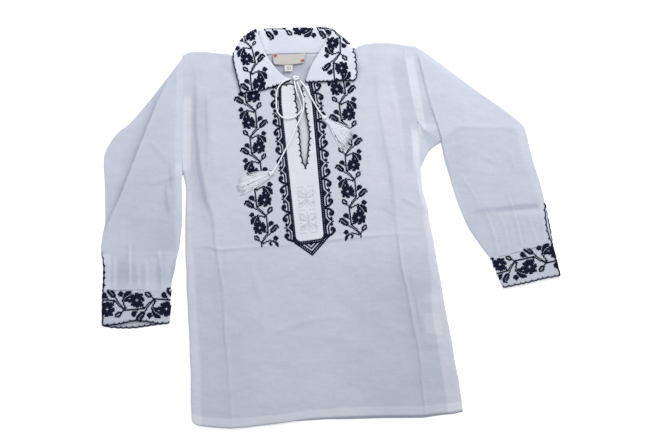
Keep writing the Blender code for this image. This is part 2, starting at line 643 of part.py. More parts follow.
def curve_points(pts, gap):
    """Even points along a smooth run through the route's corners."""
    pts = [Vector(p) for p in pts]
    ends = [pts[0] * 2 - pts[1]] + pts + [pts[-1] * 2 - pts[-2]]
    dense = []
    for a, b, c, d in zip(ends, ends[1:], ends[2:], ends[3:]):
        for k in range(12):
            t = k / 12
            dense.append(0.5 * (2 * b + (c - a) * t + (2 * a - 5 * b + 4 * c - d) * t * t
                                + (3 * b - 3 * c + d - a) * t ** 3))
    dense.append(pts[-1])
    length = sum((b - a).length for a, b in zip(dense, dense[1:]))
    count = max(2, round(length / gap))
    even, run, k = [dense[0]], 0.0, 1
    for a, b in zip(dense, dense[1:]):
        step = (b - a).length
        while run + step >= length * k / count - 1e-9 and k < count:
            even.append(a.lerp(b, (length * k / count - run) / step))
            k += 1
        run += step
    even.append(dense[-1])
    return even


def cord(name, route, lift):
    """A round cord laid on the cloth under it."""
    pts = curve_points(route, 4.8)
    heights = [top_at(tree, p.x, p.y, 1.6) + SEAM_GAP + CORD_R for p in pts]
    if lift:
        for n, p in enumerate(pts):
            near = min((p - q).length for q in loop_points)
            heights[n] += lift * smooth((8.0 - near) / 4.0)
    for _ in range(2):
        heights = [max(h, a, b) for a, h, b in
                   zip([heights[0]] + heights, heights, heights[1:] + [heights[-1]])]
    for _ in range(2):
        heights = [max(h, (a + h + b) / 3) for a, h, b in
                   zip([heights[0]] + heights, heights, heights[1:] + [heights[-1]])]
    data = bpy.data.curves.new(name, "CURVE")
    data.dimensions = "3D"
    data.bevel_depth = CORD_R * MM
    data.bevel_resolution = 2
    data.use_fill_caps = True
    line = data.splines.new("POLY")
    line.points.add(len(pts) - 1)
    for point, p, z in zip(line.points, pts, heights):
        point.co = (p.x * MM, p.y * MM, z * MM, 1.0)
    obj = bpy.data.objects.new(name, data)
    bpy.context.scene.collection.objects.link(obj)
    bpy.ops.object.select_all(action="DESELECT")
    obj.select_set(True)
    bpy.context.view_layer.objects.active = obj
    bpy.ops.object.convert(target="MESH")
    obj = bpy.context.object
    obj.name = name
    obj.data.materials.clear()
    obj.data.materials.append(material("cord_white"))
    return [(p.x, p.y, z) for p, z in zip(pts, heights)]


loop_points = curve_points(CORDS[0][1], 4.8)
ends = {name: cord(name, route, lift) for name, route, lift in CORDS}

knot_z = top_at(tree, -51.5, 219.4, 5.0) + 2.9
bpy.ops.mesh.primitive_uv_sphere_add(segments=16, ring_count=10, radius=1.0, location=(0, 0, 0))
knot = bpy.context.object
knot.name = "tie_knot"
knot.scale = Vector((4.6, 3.2, 2.4)) * MM
knot.rotation_euler = (0, 0, math.radians(-12))
knot.location = Vector((-52.0, 220.0, knot_z)) * MM
bpy.ops.object.transform_apply(location=True, rotation=True, scale=True)
knot.data.materials.append(material("cord_white"))


def strand(bm, a, b, lift_a, lift_b, bend):
    """One three-sided thread from the head to its free end."""
    rings = []
    for k in range(3):
        t = k / 2
        p = Vector(a).lerp(Vector(b), t)
        side = Vector((b[1] - a[1], a[0] - b[0])).normalized()
        p = p + side * bend * math.sin(math.pi * t)
        z = lift_a + (lift_b - lift_a) * smooth(t * 1.6)
        ring = []
        for n in range(3):
            w = math.radians(90 + 120 * n)
            q = Vector((p.x, p.y)) + side * STRAND_R * math.cos(w)
            ring.append(bm.verts.new(Vector((q.x, q.y, z + STRAND_R * math.sin(w))) * MM))
        rings.append(ring)
    for low, high in zip(rings, rings[1:]):
        for n in range(3):
            m = (n + 1) % 3
            bm.faces.new((low[n], low[m], high[m], high[n]))
    bm.faces.new(rings[0][::-1])
    bm.faces.new(rings[-1])


def tassel(name, head, corner_a, corner_b):
    """A bound head with threads fanned out from it in two layers."""
    head, ca, cb = Vector(head), Vector(corner_a), Vector(corner_b)
    aim = ((ca + cb) / 2 - head).normalized()
    across = Vector((-aim.y, aim.x))
    if across.dot(cb - ca) < 0:
        across = -across
    floor = max(top_at(tree, head.x, head.y, 5.0),
                max(top_at(tree, *head.lerp(ca.lerp(cb, u), v), 3.0) for u in (0, 0.3, 0.6, 1)
                    for v in (0.3, 0.6, 0.85, 1.0)))
    base = floor + SEAM_GAP + STRAND_R
    bm = bmesh.new()
    for layer in (0, 1):
        for k in range(STRANDS):
            u = (k + 0.25 + 0.5 * layer) / STRANDS
            start = head + across * (u - 0.5) * 6.4 + aim * 1.2
            reach = 1.0 - 0.10 * ((k * 7 + layer * 3) % 5) / 4
            tip = head.lerp(ca.lerp(cb, u), reach)
            strand(bm, start, tip, base + 0.5 + 1.15 * layer, base + 1.15 * layer,
                   0.5 * ((k * 5) % 3 - 1))
    bmesh.ops.recalc_face_normals(bm, faces=bm.faces)
    fringe = put(name + "_threads", bm, "cord_white")
    bpy.ops.mesh.primitive_uv_sphere_add(segments=20, ring_count=12, radius=1.0)
    obj = bpy.context.object
    obj.name = name
    obj.scale = Vector((4.6, 4.4, 1.9)) * MM
    obj.rotation_euler = (0, 0, math.atan2(aim.y, aim.x))
    obj.location = Vector((head.x, head.y, base + 1.3)) * MM
    bpy.ops.object.transform_apply(location=True, rotation=True, scale=True)
    obj.data.materials.append(material("cord_white"))
    mod = obj.modifiers.new("threads", "BOOLEAN")
    mod.solver = "EXACT"
    mod.operation = "UNION"
    mod.use_self = True
    mod.object = fringe
    apply(obj, mod)
    bpy.data.objects.remove(fringe, do_unlink=True)
    return obj


for name, head, ca, cb in TASSELS:
    tassel(name, head, ca, cb)

# the row's origin is the middle of the shirt on the floor
cloth = [v.co for obj in bpy.data.objects if not obj.name.startswith(("tie", "tassel")) for v in obj.data.vertices]
mid_x = (min(p.x for p in cloth) + max(p.x for p in cloth)) / 2
mid_y = (min(p.y for p in cloth) + max(p.y for p in cloth)) / 2
print("moved by", round(-mid_x / MM, 3), round(-mid_y / MM, 3))
for obj in bpy.data.objects:
    for v in obj.data.vertices:
        v.co.x -= mid_x
        v.co.y -= mid_y
    obj.data.name = obj.name
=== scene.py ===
"""Child's embroidered cotton ie shirt, laid flat on its back on a pale table.

Lengths in the tables are millimetres on the shirt's own pattern, whose zero lies at
PATTERN_ZERO in the frame.  Heights are millimetres over the table.
"""
import math

import bmesh
import bpy
import numpy as np
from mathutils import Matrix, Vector
from mathutils.bvhtree import BVHTree


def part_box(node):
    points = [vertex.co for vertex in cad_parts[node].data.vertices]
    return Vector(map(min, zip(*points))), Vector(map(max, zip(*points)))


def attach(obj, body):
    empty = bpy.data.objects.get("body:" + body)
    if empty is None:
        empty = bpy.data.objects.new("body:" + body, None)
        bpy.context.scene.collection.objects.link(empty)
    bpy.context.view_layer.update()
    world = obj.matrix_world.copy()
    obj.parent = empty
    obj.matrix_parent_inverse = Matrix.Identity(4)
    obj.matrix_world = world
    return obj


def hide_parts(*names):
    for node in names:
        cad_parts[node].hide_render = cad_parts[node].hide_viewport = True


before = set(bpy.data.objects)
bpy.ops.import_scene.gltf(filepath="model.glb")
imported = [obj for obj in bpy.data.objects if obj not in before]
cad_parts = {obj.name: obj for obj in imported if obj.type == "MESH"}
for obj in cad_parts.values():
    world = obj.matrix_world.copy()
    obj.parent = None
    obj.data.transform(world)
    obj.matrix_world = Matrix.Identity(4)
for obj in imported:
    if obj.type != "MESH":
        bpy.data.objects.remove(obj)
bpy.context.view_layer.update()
bpy.ops.object.select_all(action="DESELECT")

# ==== Camera, table and light.  The shirt is looked at from above, a little from
# the hem side; one broad lamp over the collar and a dim sky light it softly.

MM = 0.001
CAMERA_TILT = math.radians(8)
CAMERA_REACH = 1.375
VIEW_CENTRE = (0.00162, 0.00202)


def set_inputs(node, values):
    """Give a shader node's inputs their values."""
    for key, value in values.items():
        node.inputs[key].default_value = value


def new_material(name, values):
    """A material, with its shader's inputs set."""
    mat = bpy.data.materials.new(name)
    mat.use_nodes = True
    set_inputs(mat.node_tree.nodes["Principled BSDF"], values)
    return mat


def new_object(name, data, place=(0, 0, 0)):
    """An object in the scene."""
    obj = bpy.data.objects.new(name, data)
    obj.location = place
    bpy.context.scene.collection.objects.link(obj)
    return obj


def lamp(name, place, size, watts, colour):
    """A square soft box turned towards the shirt's middle."""
    data = bpy.data.lights.new(name, "AREA")
    data.size = size
    data.energy = watts
    data.color = colour
    new_object(name, data, place).rotation_euler = (-Vector(place)).to_track_quat("-Z", "Y").to_euler()


camera_data = bpy.data.cameras.new("camera")
camera_data.lens = 50
camera_data.sensor_width = 36
camera = new_object("camera", camera_data, (
    VIEW_CENTRE[0],
    VIEW_CENTRE[1] - CAMERA_REACH * math.sin(CAMERA_TILT),
    CAMERA_REACH * math.cos(CAMERA_TILT),
))
camera.rotation_euler = (CAMERA_TILT, 0, 0)
bpy.context.scene.camera = camera

bpy.ops.mesh.primitive_plane_add(size=6, location=(0, 0, -0.0002))
table = bpy.context.object
table.name = "table_top"
table.data.materials.append(new_material("table_white", {
    "Base Color": (0.93, 0.935, 0.94, 1), "Roughness": 0.9,
    "Emission Color": (1, 1, 1, 1), "Emission Strength": 0.34,
}))

world = bpy.data.worlds.new("studio")
world.use_nodes = True
set_inputs(world.node_tree.nodes["Background"], {"Color": (0.93, 0.96, 1.0, 1), "Strength": 0.62})
bpy.context.scene.world = world
bpy.context.scene.view_settings.view_transform = "Standard"
lamp("soft_box", (0.75, 1.15, 0.95), 0.9, 24, (1.0, 0.99, 0.97))
lamp("fill_box", (-1.3, 0.5, 1.1), 1.2, 9, (0.93, 0.96, 1.0))

# ==== Tie cord: a white twisted cotton cord, 2.2 mm thick, knotted at the neck.
# One loop lies on the slit, and both free ends run down to a tassel.

PATTERN_ZERO = np.array((1.723, 0.534, 0.0))
CORD_THICK = 2.2
CORD_TWIST = 7.5      # length of one turn of the two plies
CORD_FLUTES = 0.22
CORD_COLOUR = (0.80, 0.815, 0.87)


def in_frame(points):
    """Pattern millimetres to metres in the frame."""
    return (np.asarray(points, float) + PATTERN_ZERO) * MM


def unit(vectors):
    """Vectors of length one."""
    return vectors / np.maximum(np.linalg.norm(vectors, axis=-1, keepdims=True), 1e-9)


def run_of(line):
    """How far along a line each of its points lies."""
    return np.concatenate([[0], np.cumsum(np.linalg.norm(np.diff(line, axis=0), axis=1))])


def along(corners, step):
    """Even points on a smooth line through a route's corners."""
    p = np.asarray(corners, float)
    ends = np.vstack([2 * p[0] - p[1], p, 2 * p[-1] - p[-2]])
    t = np.linspace(0, 1, 16, endpoint=False)[:, None]
    run = []
    for a, b, c, d in zip(ends, ends[1:], ends[2:], ends[3:]):
        run.append(0.5 * (2 * b + (c - a) * t + (2 * a - 5 * b + 4 * c - d) * t ** 2
                          + (3 * b - 3 * c + d - a) * t ** 3))
    run = np.vstack(run + [p[-1:]])
    far = run_of(run)
    want = np.linspace(0, far[-1], max(2, round(far[-1] / step) + 1))
    return np.stack([np.interp(want, far, run[:, k]) for k in range(p.shape[1])], 1)


def new_piece(name, points, faces, paint, slot, *solids, smooth_faces=True):
    """A mesh from pattern points that rides on the shirt and stands for some solids."""
    mesh = bpy.data.meshes.new(name)
    mesh.from_pydata(in_frame(points).tolist(), [], faces)
    mesh.update()
    mesh.materials.append(paint)
    if smooth_faces:
        mesh.shade_smooth()
    obj = new_object(name, mesh)
    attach(obj, "root")
    if solids:
        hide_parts(*solids)
    return obj


def tube(centres, radius, sides, twist=0.0, flutes=0.0):
    """Points and faces of a round thread; its radius may wind in plies."""
    c = np.asarray(centres, float)
    ahead = unit(np.gradient(c, axis=0))
    side = unit(np.cross(ahead, (0.0, 0.0, 1.0)))
    up = np.cross(side, ahead)
    turn = np.arange(sides) * 2 * math.pi / sides
    r = np.ones(sides) * np.reshape(np.broadcast_to(radius, len(c)), (-1, 1))
    if twist:
        r = r * (1 - flutes + flutes * np.abs(np.cos(turn - run_of(c)[:, None] * math.pi * 2 / twist)))
    points = (c[:, None] + side[:, None] * (r * np.cos(turn))[..., None]
              + up[:, None] * (r * np.sin(turn))[..., None])
    last = (len(c) - 1) * sides
    faces = [(k + n, k + sides + n, k + sides + (n + 1) % sides, k + (n + 1) % sides)
             for k in range(0, last, sides) for n in range(sides)]
    faces += [tuple(range(sides)), tuple(range(last + sides - 1, last - 1, -1))]
    return points.reshape(-1, 3), faces


def join(parts):
    """Several sets of points and faces as one."""
    points, faces, start = [], [], 0
    for p, f in parts:
        points.append(p)
        faces += [tuple(start + i for i in face) for face in f]
        start += len(p)
    return np.vstack(points), faces


def node(mat, kind, values, sources, **settings):
    """A shader node with its settings, its inputs set by value or fed by an output."""
    made = mat.node_tree.nodes.new("ShaderNode" + kind)
    for key, value in settings.items():
        setattr(made, key, value)
    set_inputs(made, values)
    for key, source in sources.items():
        mat.node_tree.links.new(source, made.inputs[key])
    return made.outputs


def noise(mat, scale, detail, stretch=(1, 1, 1)):
    """Procedural noise in the piece's own space."""
    place = node(mat, "TexCoord", {}, {})["Object"]
    place = node(mat, "Mapping", {"Scale": stretch}, {"Vector": place})["Vector"]
    return node(mat, "TexNoise", {"Scale": scale, "Detail": detail}, {"Vector": place})["Fac"]


def coat(mat, colour, dark, light, share, height, strength, depth):
    """A material's colour, between a dark and a light tone of it, and its bump."""
    tones = {"A": (*(c * d for c, d in zip(colour, dark)), 1),
             "B": (*(min(1, c * d) for c, d in zip(colour, light)), 1)}
    mix = node(mat, "Mix", tones, {"Factor": share}, data_type="RGBA")
    bump = node(mat, "Bump", {"Strength": strength, "Distance": depth}, {"Height": height})
    shader = mat.node_tree.nodes["Principled BSDF"]
    mat.node_tree.links.new(mix["Result"], shader.inputs["Base Color"])
    mat.node_tree.links.new(bump["Normal"], shader.inputs["Normal"])
    return mat


def thread_paint(name, colour, rough, grain, sheen=0.25):
    """Spun cotton thread: slightly uneven in tone, with a fine fuzzy bump."""
    mat = new_material(name, {
        "Roughness": rough, "Sheen Weight": sheen, "Specular IOR Level": 0.5 * sheen + 0.1,
    })
    fuzz = noise(mat, grain, 2)
    return coat(mat, colour, (0.82, 0.82, 0.82), (1.12, 1.12, 1.12), fuzz, fuzz, 0.5, 0.0002)


cord_paint = thread_paint("cord_cotton", CORD_COLOUR, 0.8, 900)

# name, what its far end meets, tassels on it, route corners: x, y, height of the cord's middle
CORDS = (
    ("tie_loop", "object", (), (
        (-54.6, 214.5, 6.9), (-51, 198, 6.7), (-46.6, 186.5, 3.4), (-44.1, 176, 3.2), (-44, 168, 6.2),
        (-55, 158, 6.8), (-70, 156.8, 6.8), (-79.6, 166.3, 5.8), (-82, 183.5, 5.1), (-80.6, 201, 5.5),
        (-72, 212.6, 7.3), (-60.6, 218, 7.4))),
    ("tie_end_left", "knot", ("tassel_left",), (
        (-50.2, 214, 5.1), (-46, 202, 6.4), (-40.6, 186, 8.7), (-40.4, 171, 8.2), (-46.3, 154.4, 6.4),
        (-53.7, 137.5, 6.8), (-61.8, 118.9, 6.8), (-68.4, 105.6, 6.6), (-77.2, 88.4, 5.1), (-84, 77.6, 5.1),
        (-88.6, 71, 5.6))),
    ("tie_end_right", "knot", ("tassel_right",), (
        (-45.8, 215.6, 6.8), (-36.6, 203.6, 6.8), (-26.1, 184, 6.8), (-16.4, 167.3, 5.4), (-12.4, 162.4, 5.1),
        (-7.4, 156, 5.6))),
)
cords = {}
for name, _, _, route in CORDS:
    middle = along(route, 0.9)
    points, faces = tube(middle, CORD_THICK / 2, 12, CORD_TWIST, CORD_FLUTES)
    cords[name] = (new_piece(name + "_twist", points, faces, cord_paint, "cord_white", name), middle)

# ==== Tassels: a bound head of the same cotton, and a hundred fine threads fanned
# out flat on the cloth, longer and wilder at their free ends.

# head x, y, and the two corners of the fanned end
TASSELS = (
    ("tassel_left", (-88.6, 71.6), (-137.6, 66.0), (-133.0, 37.5)),
    ("tassel_right", (-9.0, 157.8), (35.4, 138.0), (17.0, 103.6)),
)
TASSEL_LEVEL = 5.3    # height of the head's middle
TASSEL_THREADS = 112
THREAD_THICK = 0.85
FAN_BOW = 4.0         # how far the fanned end bows out
ROOT_WIDE = 9.0       # width of the threads' roots at the head
HEAD_RINGS = 6
RING_STEP = 1.15
tassel_paint = thread_paint("tassel_cotton", (0.690, 0.705, 0.765), 0.9, 700)
chance = np.random.default_rng(11)
for name, *corners in TASSELS:
    head, corner_a, corner_b = np.array(corners)
    aim = unit((corner_a + corner_b) / 2 - head)
    across = np.array((-aim[1], aim[0]))
    parts = []
    for _ in range(TASSEL_THREADS):
        share = chance.uniform(0, 1)
        layer = chance.uniform(0, 1)
        reach = chance.uniform(0.86, 1.04)
        bend = chance.normal(0, 1.6)
        curl = chance.normal(0, 1.1)
        tip = head + (corner_a + (corner_b - corner_a) * share - head) * reach
        tip = tip + aim * FAN_BOW * math.sin(math.pi * share)
        start = head + aim * 1.5 + across * (share - 0.5) * ROOT_WIDE
        t = np.linspace(0, 1, 9)[:, None]
        flat = start + (tip - start) * t
        flat = flat + across * (bend * np.sin(math.pi * t) + curl * np.sin(2 * math.pi * t) * t)
        z = TASSEL_LEVEL - 0.9 + layer * 1.3 * (1 - t) + (layer - 0.9) * t
        parts.append(tube(np.hstack([flat, z]), THREAD_THICK / 2, 4))
    for k in range(HEAD_RINGS):
        middle = head + aim * (k * RING_STEP - 3.4)
        girth = 1.7 + 0.42 * k
        w = np.linspace(0, 2 * math.pi, 19)[:, None]
        ring = np.hstack([middle + across * girth * np.cos(w), TASSEL_LEVEL + 0.62 * girth * np.sin(w)])
        parts.append(tube(ring, 0.75, 6))
    new_piece(name + "_threads", *join(parts), tassel_paint, "cord_white", name)

for name, far_end, ends_in, _ in CORDS:
    piece, middle = cords[name]

# ==== Plain cotton cloth, used for the whole shirt: thin, evenly woven, softly
# uneven in tone.  "tone" on each cloth makes turned places lighter, and holds painted light and shade.

CLOTH = 0.5           # thickness of the shown cloth


def cotton(name, colour, slubs=1.0, wrinkles=1.0):
    """Woven cotton: threads both ways, faint slubs, broad soft unevenness."""
    mat = new_material(name, {"Roughness": 0.92, "Specular IOR Level": 0.25, "Sheen Weight": 0.12})

    def add(first, second, factor=1.0):
        return node(mat, "Math", {1: factor}, {0: second, 2: first}, operation="MULTIPLY_ADD")[0]

    threads = add(noise(mat, 60, 3, (1, 16, 1)), noise(mat, 60, 3, (16, 1, 1)))
    # the "tone" attribute: doubled cloth lighter, and painted light and shade on creases, folds and down the
    # shirt
    tone = node(mat, "Attribute", {}, {}, attribute_name="tone")["Fac"]
    level = add(tone, threads, 0.22 * slubs)
    level = add(level, noise(mat, 14, 3), 0.55)
    level = add(level, noise(mat, 210, 2), 0.34 * slubs)
    share = node(mat, "MapRange", {"From Min": -0.4, "From Max": 1.6}, {"Value": level})["Result"]
    height = add(threads, noise(mat, 28, 2, (1, 1.4, 1)), 9.0 * wrinkles)
    return coat(mat, colour, (0.67, 0.695, 0.74), (1.16, 1.14, 1.10), share, height, 0.55, 0.00035)


def read(table, at):
    """Value of a two-column table at places along it, straight between rows."""
    rows = np.array(sorted(table), float)
    return np.interp(at, rows[:, 0], rows[:, 1])


def smooth(t):
    """Ease from 0 to 1."""
    t = np.clip(t, 0.0, 1.0)
    return t * t * (3 - 2 * t)


def bell(gap, half):
    """1 at the middle of a soft line, and near 0 beyond its half width."""
    return np.exp(-(gap / half) ** 2)


def fade(share, start, end):
    """1 along a line, easing to 0 at its two ends, sooner for larger numbers."""
    return smooth(share * start) * smooth((1 - share) * end)


def window(at, low, rise, high, fall):
    """1 between two places, easing up past the first and down to the second."""
    return smooth((at - low) / rise) * smooth((high - at) / fall)


def to_line(x, y, line):
    """Distance to a polyline, and the share of its length at the nearest point."""
    best = np.full(np.shape(x), 1e9)
    share = np.zeros(np.shape(x))
    total = sum(math.dist(a, b) for a, b in zip(line, line[1:]))
    run = 0.0
    for a, b in zip(line, line[1:]):
        dx, dy = b[0] - a[0], b[1] - a[1]
        span = math.hypot(dx, dy)
        t = np.clip(((x - a[0]) * dx + (y - a[1]) * dy) / span ** 2, 0, 1)
        gap = np.hypot(x - a[0] - t * dx, y - a[1] - t * dy)
        nearer = gap < best
        best = np.where(nearer, gap, best)
        share = np.where(nearer, (run + t * span) / total, share)
        run += span
    return best, share


def beyond(x, y, fold):
    """Signed distance past a fold line, to its left, and the share of its length."""
    gap, share = to_line(x, y, fold)
    return np.where(x < read([(b, a) for a, b in fold], y), gap, -gap), share


def ridges(x, y, creases):
    """Height added by soft creases that fade out at both ends."""
    rise = np.zeros(np.shape(x))
    for high, half, line in creases:
        gap, share = to_line(x, y, line)
        rise += high * fade(share, 6, 6) * bell(gap, half)
    return rise


def crease_tones(x, y, creases):
    """Light along pressed creases, and a soft shade beside them."""
    tone = np.zeros(np.shape(x))
    for high, half, line in creases:
        gap, share = to_line(x, y, line)
        lit, shaded = bell(gap, 0.6 * half), bell(gap - 2.4 * half, 1.3 * half)
        tone += high * fade(share, 5, 7) * (0.9 * lit - 0.45 * shaded)
    return tone


def wrinkle_shade(x, y, wrinkles, half):
    """Painted shade in thin wrinkles; each is how dark it is, and its line."""
    tone = np.zeros(np.shape(x))
    for dark, line in wrinkles:
        gap, share = to_line(x, y, line)
        tone -= dark * fade(share, 4, 4) * bell(gap, half)
    return tone


def zone(x, y, corners, soft):
    """1 inside a polygon, easing to 0 over its edge."""
    within = np.zeros(np.shape(x), bool)
    for (ax, ay), (bx, by) in zip(corners, corners[1:] + corners[:1]):
        within ^= ((ay > y) != (by > y)) & (x < (bx - ax) * (y - ay) / (by - ay + 1e-9) + ax)
    gap = to_line(x, y, corners + corners[:1])[0]
    return smooth(0.5 + np.where(within, gap, -gap) / soft)


def between(rows, t):
    """Plan points across each row of four, by shares t from its first point to its second."""
    return rows[:, None, :2] * (1 - t[..., None]) + rows[:, None, 2:] * t[..., None]


def cloth(name, grids, tones, paint, slot, *solids, thick=CLOTH, ring=False):
    """A cloth of even thickness about grids of mid-surface points (rows, columns)."""
    quads, start = [], 0
    for grid in grids:
        rows, cols = grid.shape[:2]
        index = start + np.arange(rows * cols).reshape(rows, cols)
        if ring:
            index = np.hstack([index, index[:, :1]])
        corners = [index[:-1, :-1], index[:-1, 1:], index[1:, 1:], index[1:, :-1]]
        quads.append(np.stack(corners, -1).reshape(-1, 4))
        start += rows * cols
    points = np.vstack([grid.reshape(-1, 3) for grid in grids])
    obj = new_piece(name, points, np.vstack(quads).tolist(), paint, slot, *solids)
    mark = obj.data.attributes.new("tone", "FLOAT", "POINT")
    mark.data.foreach_set("value", np.concatenate([np.ravel(t) for t in tones]).astype(np.float32))
    bm = bmesh.new()
    bm.from_mesh(obj.data)
    bmesh.ops.remove_doubles(bm, verts=bm.verts, dist=0.00002)
    bmesh.ops.recalc_face_normals(bm, faces=bm.faces)
    if max(bm.faces, key=lambda f: f.calc_center_median().z).normal.z < 0:
        bmesh.ops.reverse_faces(bm, faces=bm.faces)
    bm.to_mesh(obj.data)
    bm.free()
    mod = obj.modifiers.new("thickness", "SOLIDIFY")
    mod.thickness = thick * MM
    mod.offset = 0.0
    bpy.ops.object.select_all(action="DESELECT")
    obj.select_set(True)
    bpy.context.view_layer.objects.active = obj
    bpy.ops.object.modifier_apply(modifier=mod.name)
    places = np.empty(len(obj.data.vertices) * 3)
    obj.data.vertices.foreach_get("co", places)
    places[2::3] = np.maximum(places[2::3], 0.0)
    obj.data.vertices.foreach_set("co", places)
    obj.data.shade_smooth()
    obj.select_set(False)
    return obj


body_cotton = cotton("body_cotton", (0.520, 0.533, 0.600))
inside_cotton = cotton("inside_cotton", (0.462, 0.474, 0.552))

# ==== Back panel: one width of cotton on the table, climbing over the collar leaf
# that lies folded under the neck.

# outline tables: y -> x for the sides, x -> y for the top and the hem
LEFT_SIDE = (
    (258, -225.4), (247, -224.6), (187, -223.7), (124, -222.6), (92, -222.8), (76, -222.3), (66, -220.4),
    (58, -218.2), (47, -216.5), (17, -216.9), (-29, -216.2), (-59, -215.2), (-74, -213.6), (-103, -212.8),
    (-118, -211.2), (-148, -209.3), (-177, -206.9), (-206, -205.8), (-221, -204.1), (-264, -203.2),
    (-292, -201.2),
)
RIGHT_SIDE = (
    (278, 111.2), (156, 130), (109, 134.4), (78, 136.8), (62, 138), (47, 139.5), (32, 143.5), (17, 147.4),
    (1, 148.4), (-29, 154.6), (-59, 158.6), (-89, 164.1), (-118, 168), (-148, 173.4), (-177, 178.8),
    (-206, 182.7), (-235, 188), (-264, 191.8), (-290, 194.4),
)
BACK_TOP = (
    (-226, 256.2), (-217, 261.2), (-206, 262.2), (-191, 262), (-166, 259), (-155, 257.6), (-151, 253.6),
    (-122.5, 246.6), (-111, 250), (-98, 256), (-85, 257.9), (-54, 258.8), (-23, 259.5), (-4, 259.6),
    (7.5, 255.4), (17, 252), (37, 255), (42, 269.8), (55, 274.2), (68, 276.2), (92, 276.2), (112, 273.8),
)
BACK_HEM = (
    (-204, -286), (-200, -295), (-192, -299.5), (-145.5, -303.5), (-99, -299.5), (-52.6, -294.4),
    (-6, -291.4), (29, -291.2), (75, -289.8), (134, -289.4), (157, -286), (180, -283.6), (192, -280.6),
)
HEM_TURN = 14.0
NECK_RAISE = 1.9
BODY_START, BODY_DROP = 258, 548      # where the rows of a body panel begin, and how far they go down


def neck_raise(x, y):
    """The panels climb over the part of the collar leaf that lies under them."""
    return NECK_RAISE * window(x, -172, 16, 62, 16) * smooth((y - 230) / 12)


def panel(top, foot, inner, outer, cols, rows, start, drop):
    """Plan of a panel between two side lines, tables y -> x, each row a share of the drop."""
    u = np.linspace(0, 1, cols + 1)[None, :]
    v = np.linspace(0, 1, rows + 1)[:, None]
    y = start - drop * v + 0 * u
    for _ in range(8):
        left, right = read(inner, y), read(outer, y)
        x = left + (right - left) * u
        y = read(top, x) * (1 - v) + read(foot, x) * v
    return x, y


x, y = panel(BACK_TOP, BACK_HEM, LEFT_SIDE, RIGHT_SIDE, 90, 140, BODY_START, BODY_DROP)
hem = smooth((HEM_TURN - (y - read(BACK_HEM, x))) / 1.5)
z = CLOTH / 2 + neck_raise(x, y) + 0.25 * hem
z = z + 1.7 * zone(x, y, [(-56, 185), (-38, 185), (-26, 115), (-36, 66), (-52, 115)], 14.0)
tone = 0.5 * hem - 0.25 * smooth((y - 205) / 30)
# painted light inside the slit, lifting the shadow that the front and facing cast there
tone = tone + 1.8 * zone(x, y, [(-60, 206), (-34, 206), (-24, 115), (-34, 72), (-54, 115)], 5.0)
back = cloth("back_cloth", [np.dstack([x, y, z])], [tone], inside_cotton, "cotton_back", "back_panel")

# ==== Front panel: lies on the back, with the neckline and the front slit cut into
# it, pressed creases from the packet, and a turned hem.

FRONT_HEM = (
    (-204, -287), (-200, -296), (-192, -300.5), (-169, -303), (-145.5, -304.5), (-122, -303), (-99, -300),
    (-76, -297.5), (-52.6, -294), (-29, -291), (-6, -289.6), (29, -288.3), (75, -286.8), (134, -286.2),
    (157, -283.8), (180, -281.8), (192, -279.2),
)
# top of the front: left shoulder, then down the neckline to the slit, and back up
FRONT_TOP_LEFT = (
    (-226, 256.6), (-217, 261.6), (-206, 262.6), (-191, 262.4), (-166, 259.4), (-155, 258), (-151, 255),
    (-122.5, 253.6), (-119.6, 253), (-114.2, 248.3), (-106.6, 241.9), (-94.5, 231.2), (-82.2, 221.7),
    (-71, 217.1), (-60, 216.8), (-53.8, 208.7),
)
FRONT_TOP_RIGHT = (
    (-42.8, 208), (-40, 216.2), (-34.6, 216), (-21.8, 224.2), (-8.2, 235.2), (2, 246.1), (10, 254.3),
    (14.8, 260.9), (17, 262), (37, 263), (42, 270.2), (55, 274.6), (68, 276.6), (92, 276.6), (112, 274.2),
)
SLIT_FOOT = 80.4
SLIT_LEFT = (
    (208.7, -53.8), (186.7, -53.6), (169.7, -50.2), (151, -50), (137.5, -47.9), (117.3, -46.2),
    (98.8, -44.4), (87.1, -41.2), (80.4, -37.4), (-310, -6),
)
SLIT_RIGHT = (
    (208, -42.8), (186.7, -39.4), (171.3, -36.5), (152.7, -33.2), (134.1, -30.4), (113.9, -31.4),
    (97.1, -33), (84, -35), (80.4, -37.4), (-310, -6),
)
# pressed creases: height, half width, then the line
FRONT_CREASES = (
    (0.35, 2.2, ((-209, 233), (-205.8, 186), (-204, 136), (-199.2, 85), (-186.6, 31), (-178, 9),
     (-173, -29), (-167, -62), (-160, -104), (-156, -162), (-149, -230), (-143, -300))),
    (0.35, 2.2, ((65, 253), (72, 187), (77, 155), (83, 108), (91, 80), (94, 41), (96, 7), (101, -27),
     (105, -71), (112, -102), (127, -183), (138, -285))),
    (0.55, 2.2, ((-209, -43), (-184, -38), (-164, -44), (-66, -36), (50, -24), (101, -20), (149, -23))),
    (0.5, 4, ((-89, -168), (-55, -155), (-28, -147), (21, -140))),
    (0.6, 3, ((105, 36), (131, 21))), (0.5, 4, ((-196, 218), (-178, 120), (-170, 40))),
    (0.5, 5, ((88, 226), (104, 150), (112, 84))), (0.6, 5, ((-120, -60), (-100, -120), (-96, -190))),
    (0.5, 5, ((40, -60), (52, -130), (50, -200))), (1.7, 17, ((153, -110), (153, -195))),
)
# painted shade of thin wrinkles: how dark, then the line
FRONT_WRINKLES = (
    (0.5, ((105, 36), (118, 28), (133, 20))), (0.5, ((76, 21), (88, 13), (99, 5))),
    (0.5, ((118, -72), (124, -110), (132, -150), (140, -186))),
    (0.5, ((118, 244), (124, 226), (128, 199), (127, 181), (131, 157))),
    (0.5, ((-191, 215), (-189, 185), (-187.5, 140), (-187, 100), (-187, 66))),
)
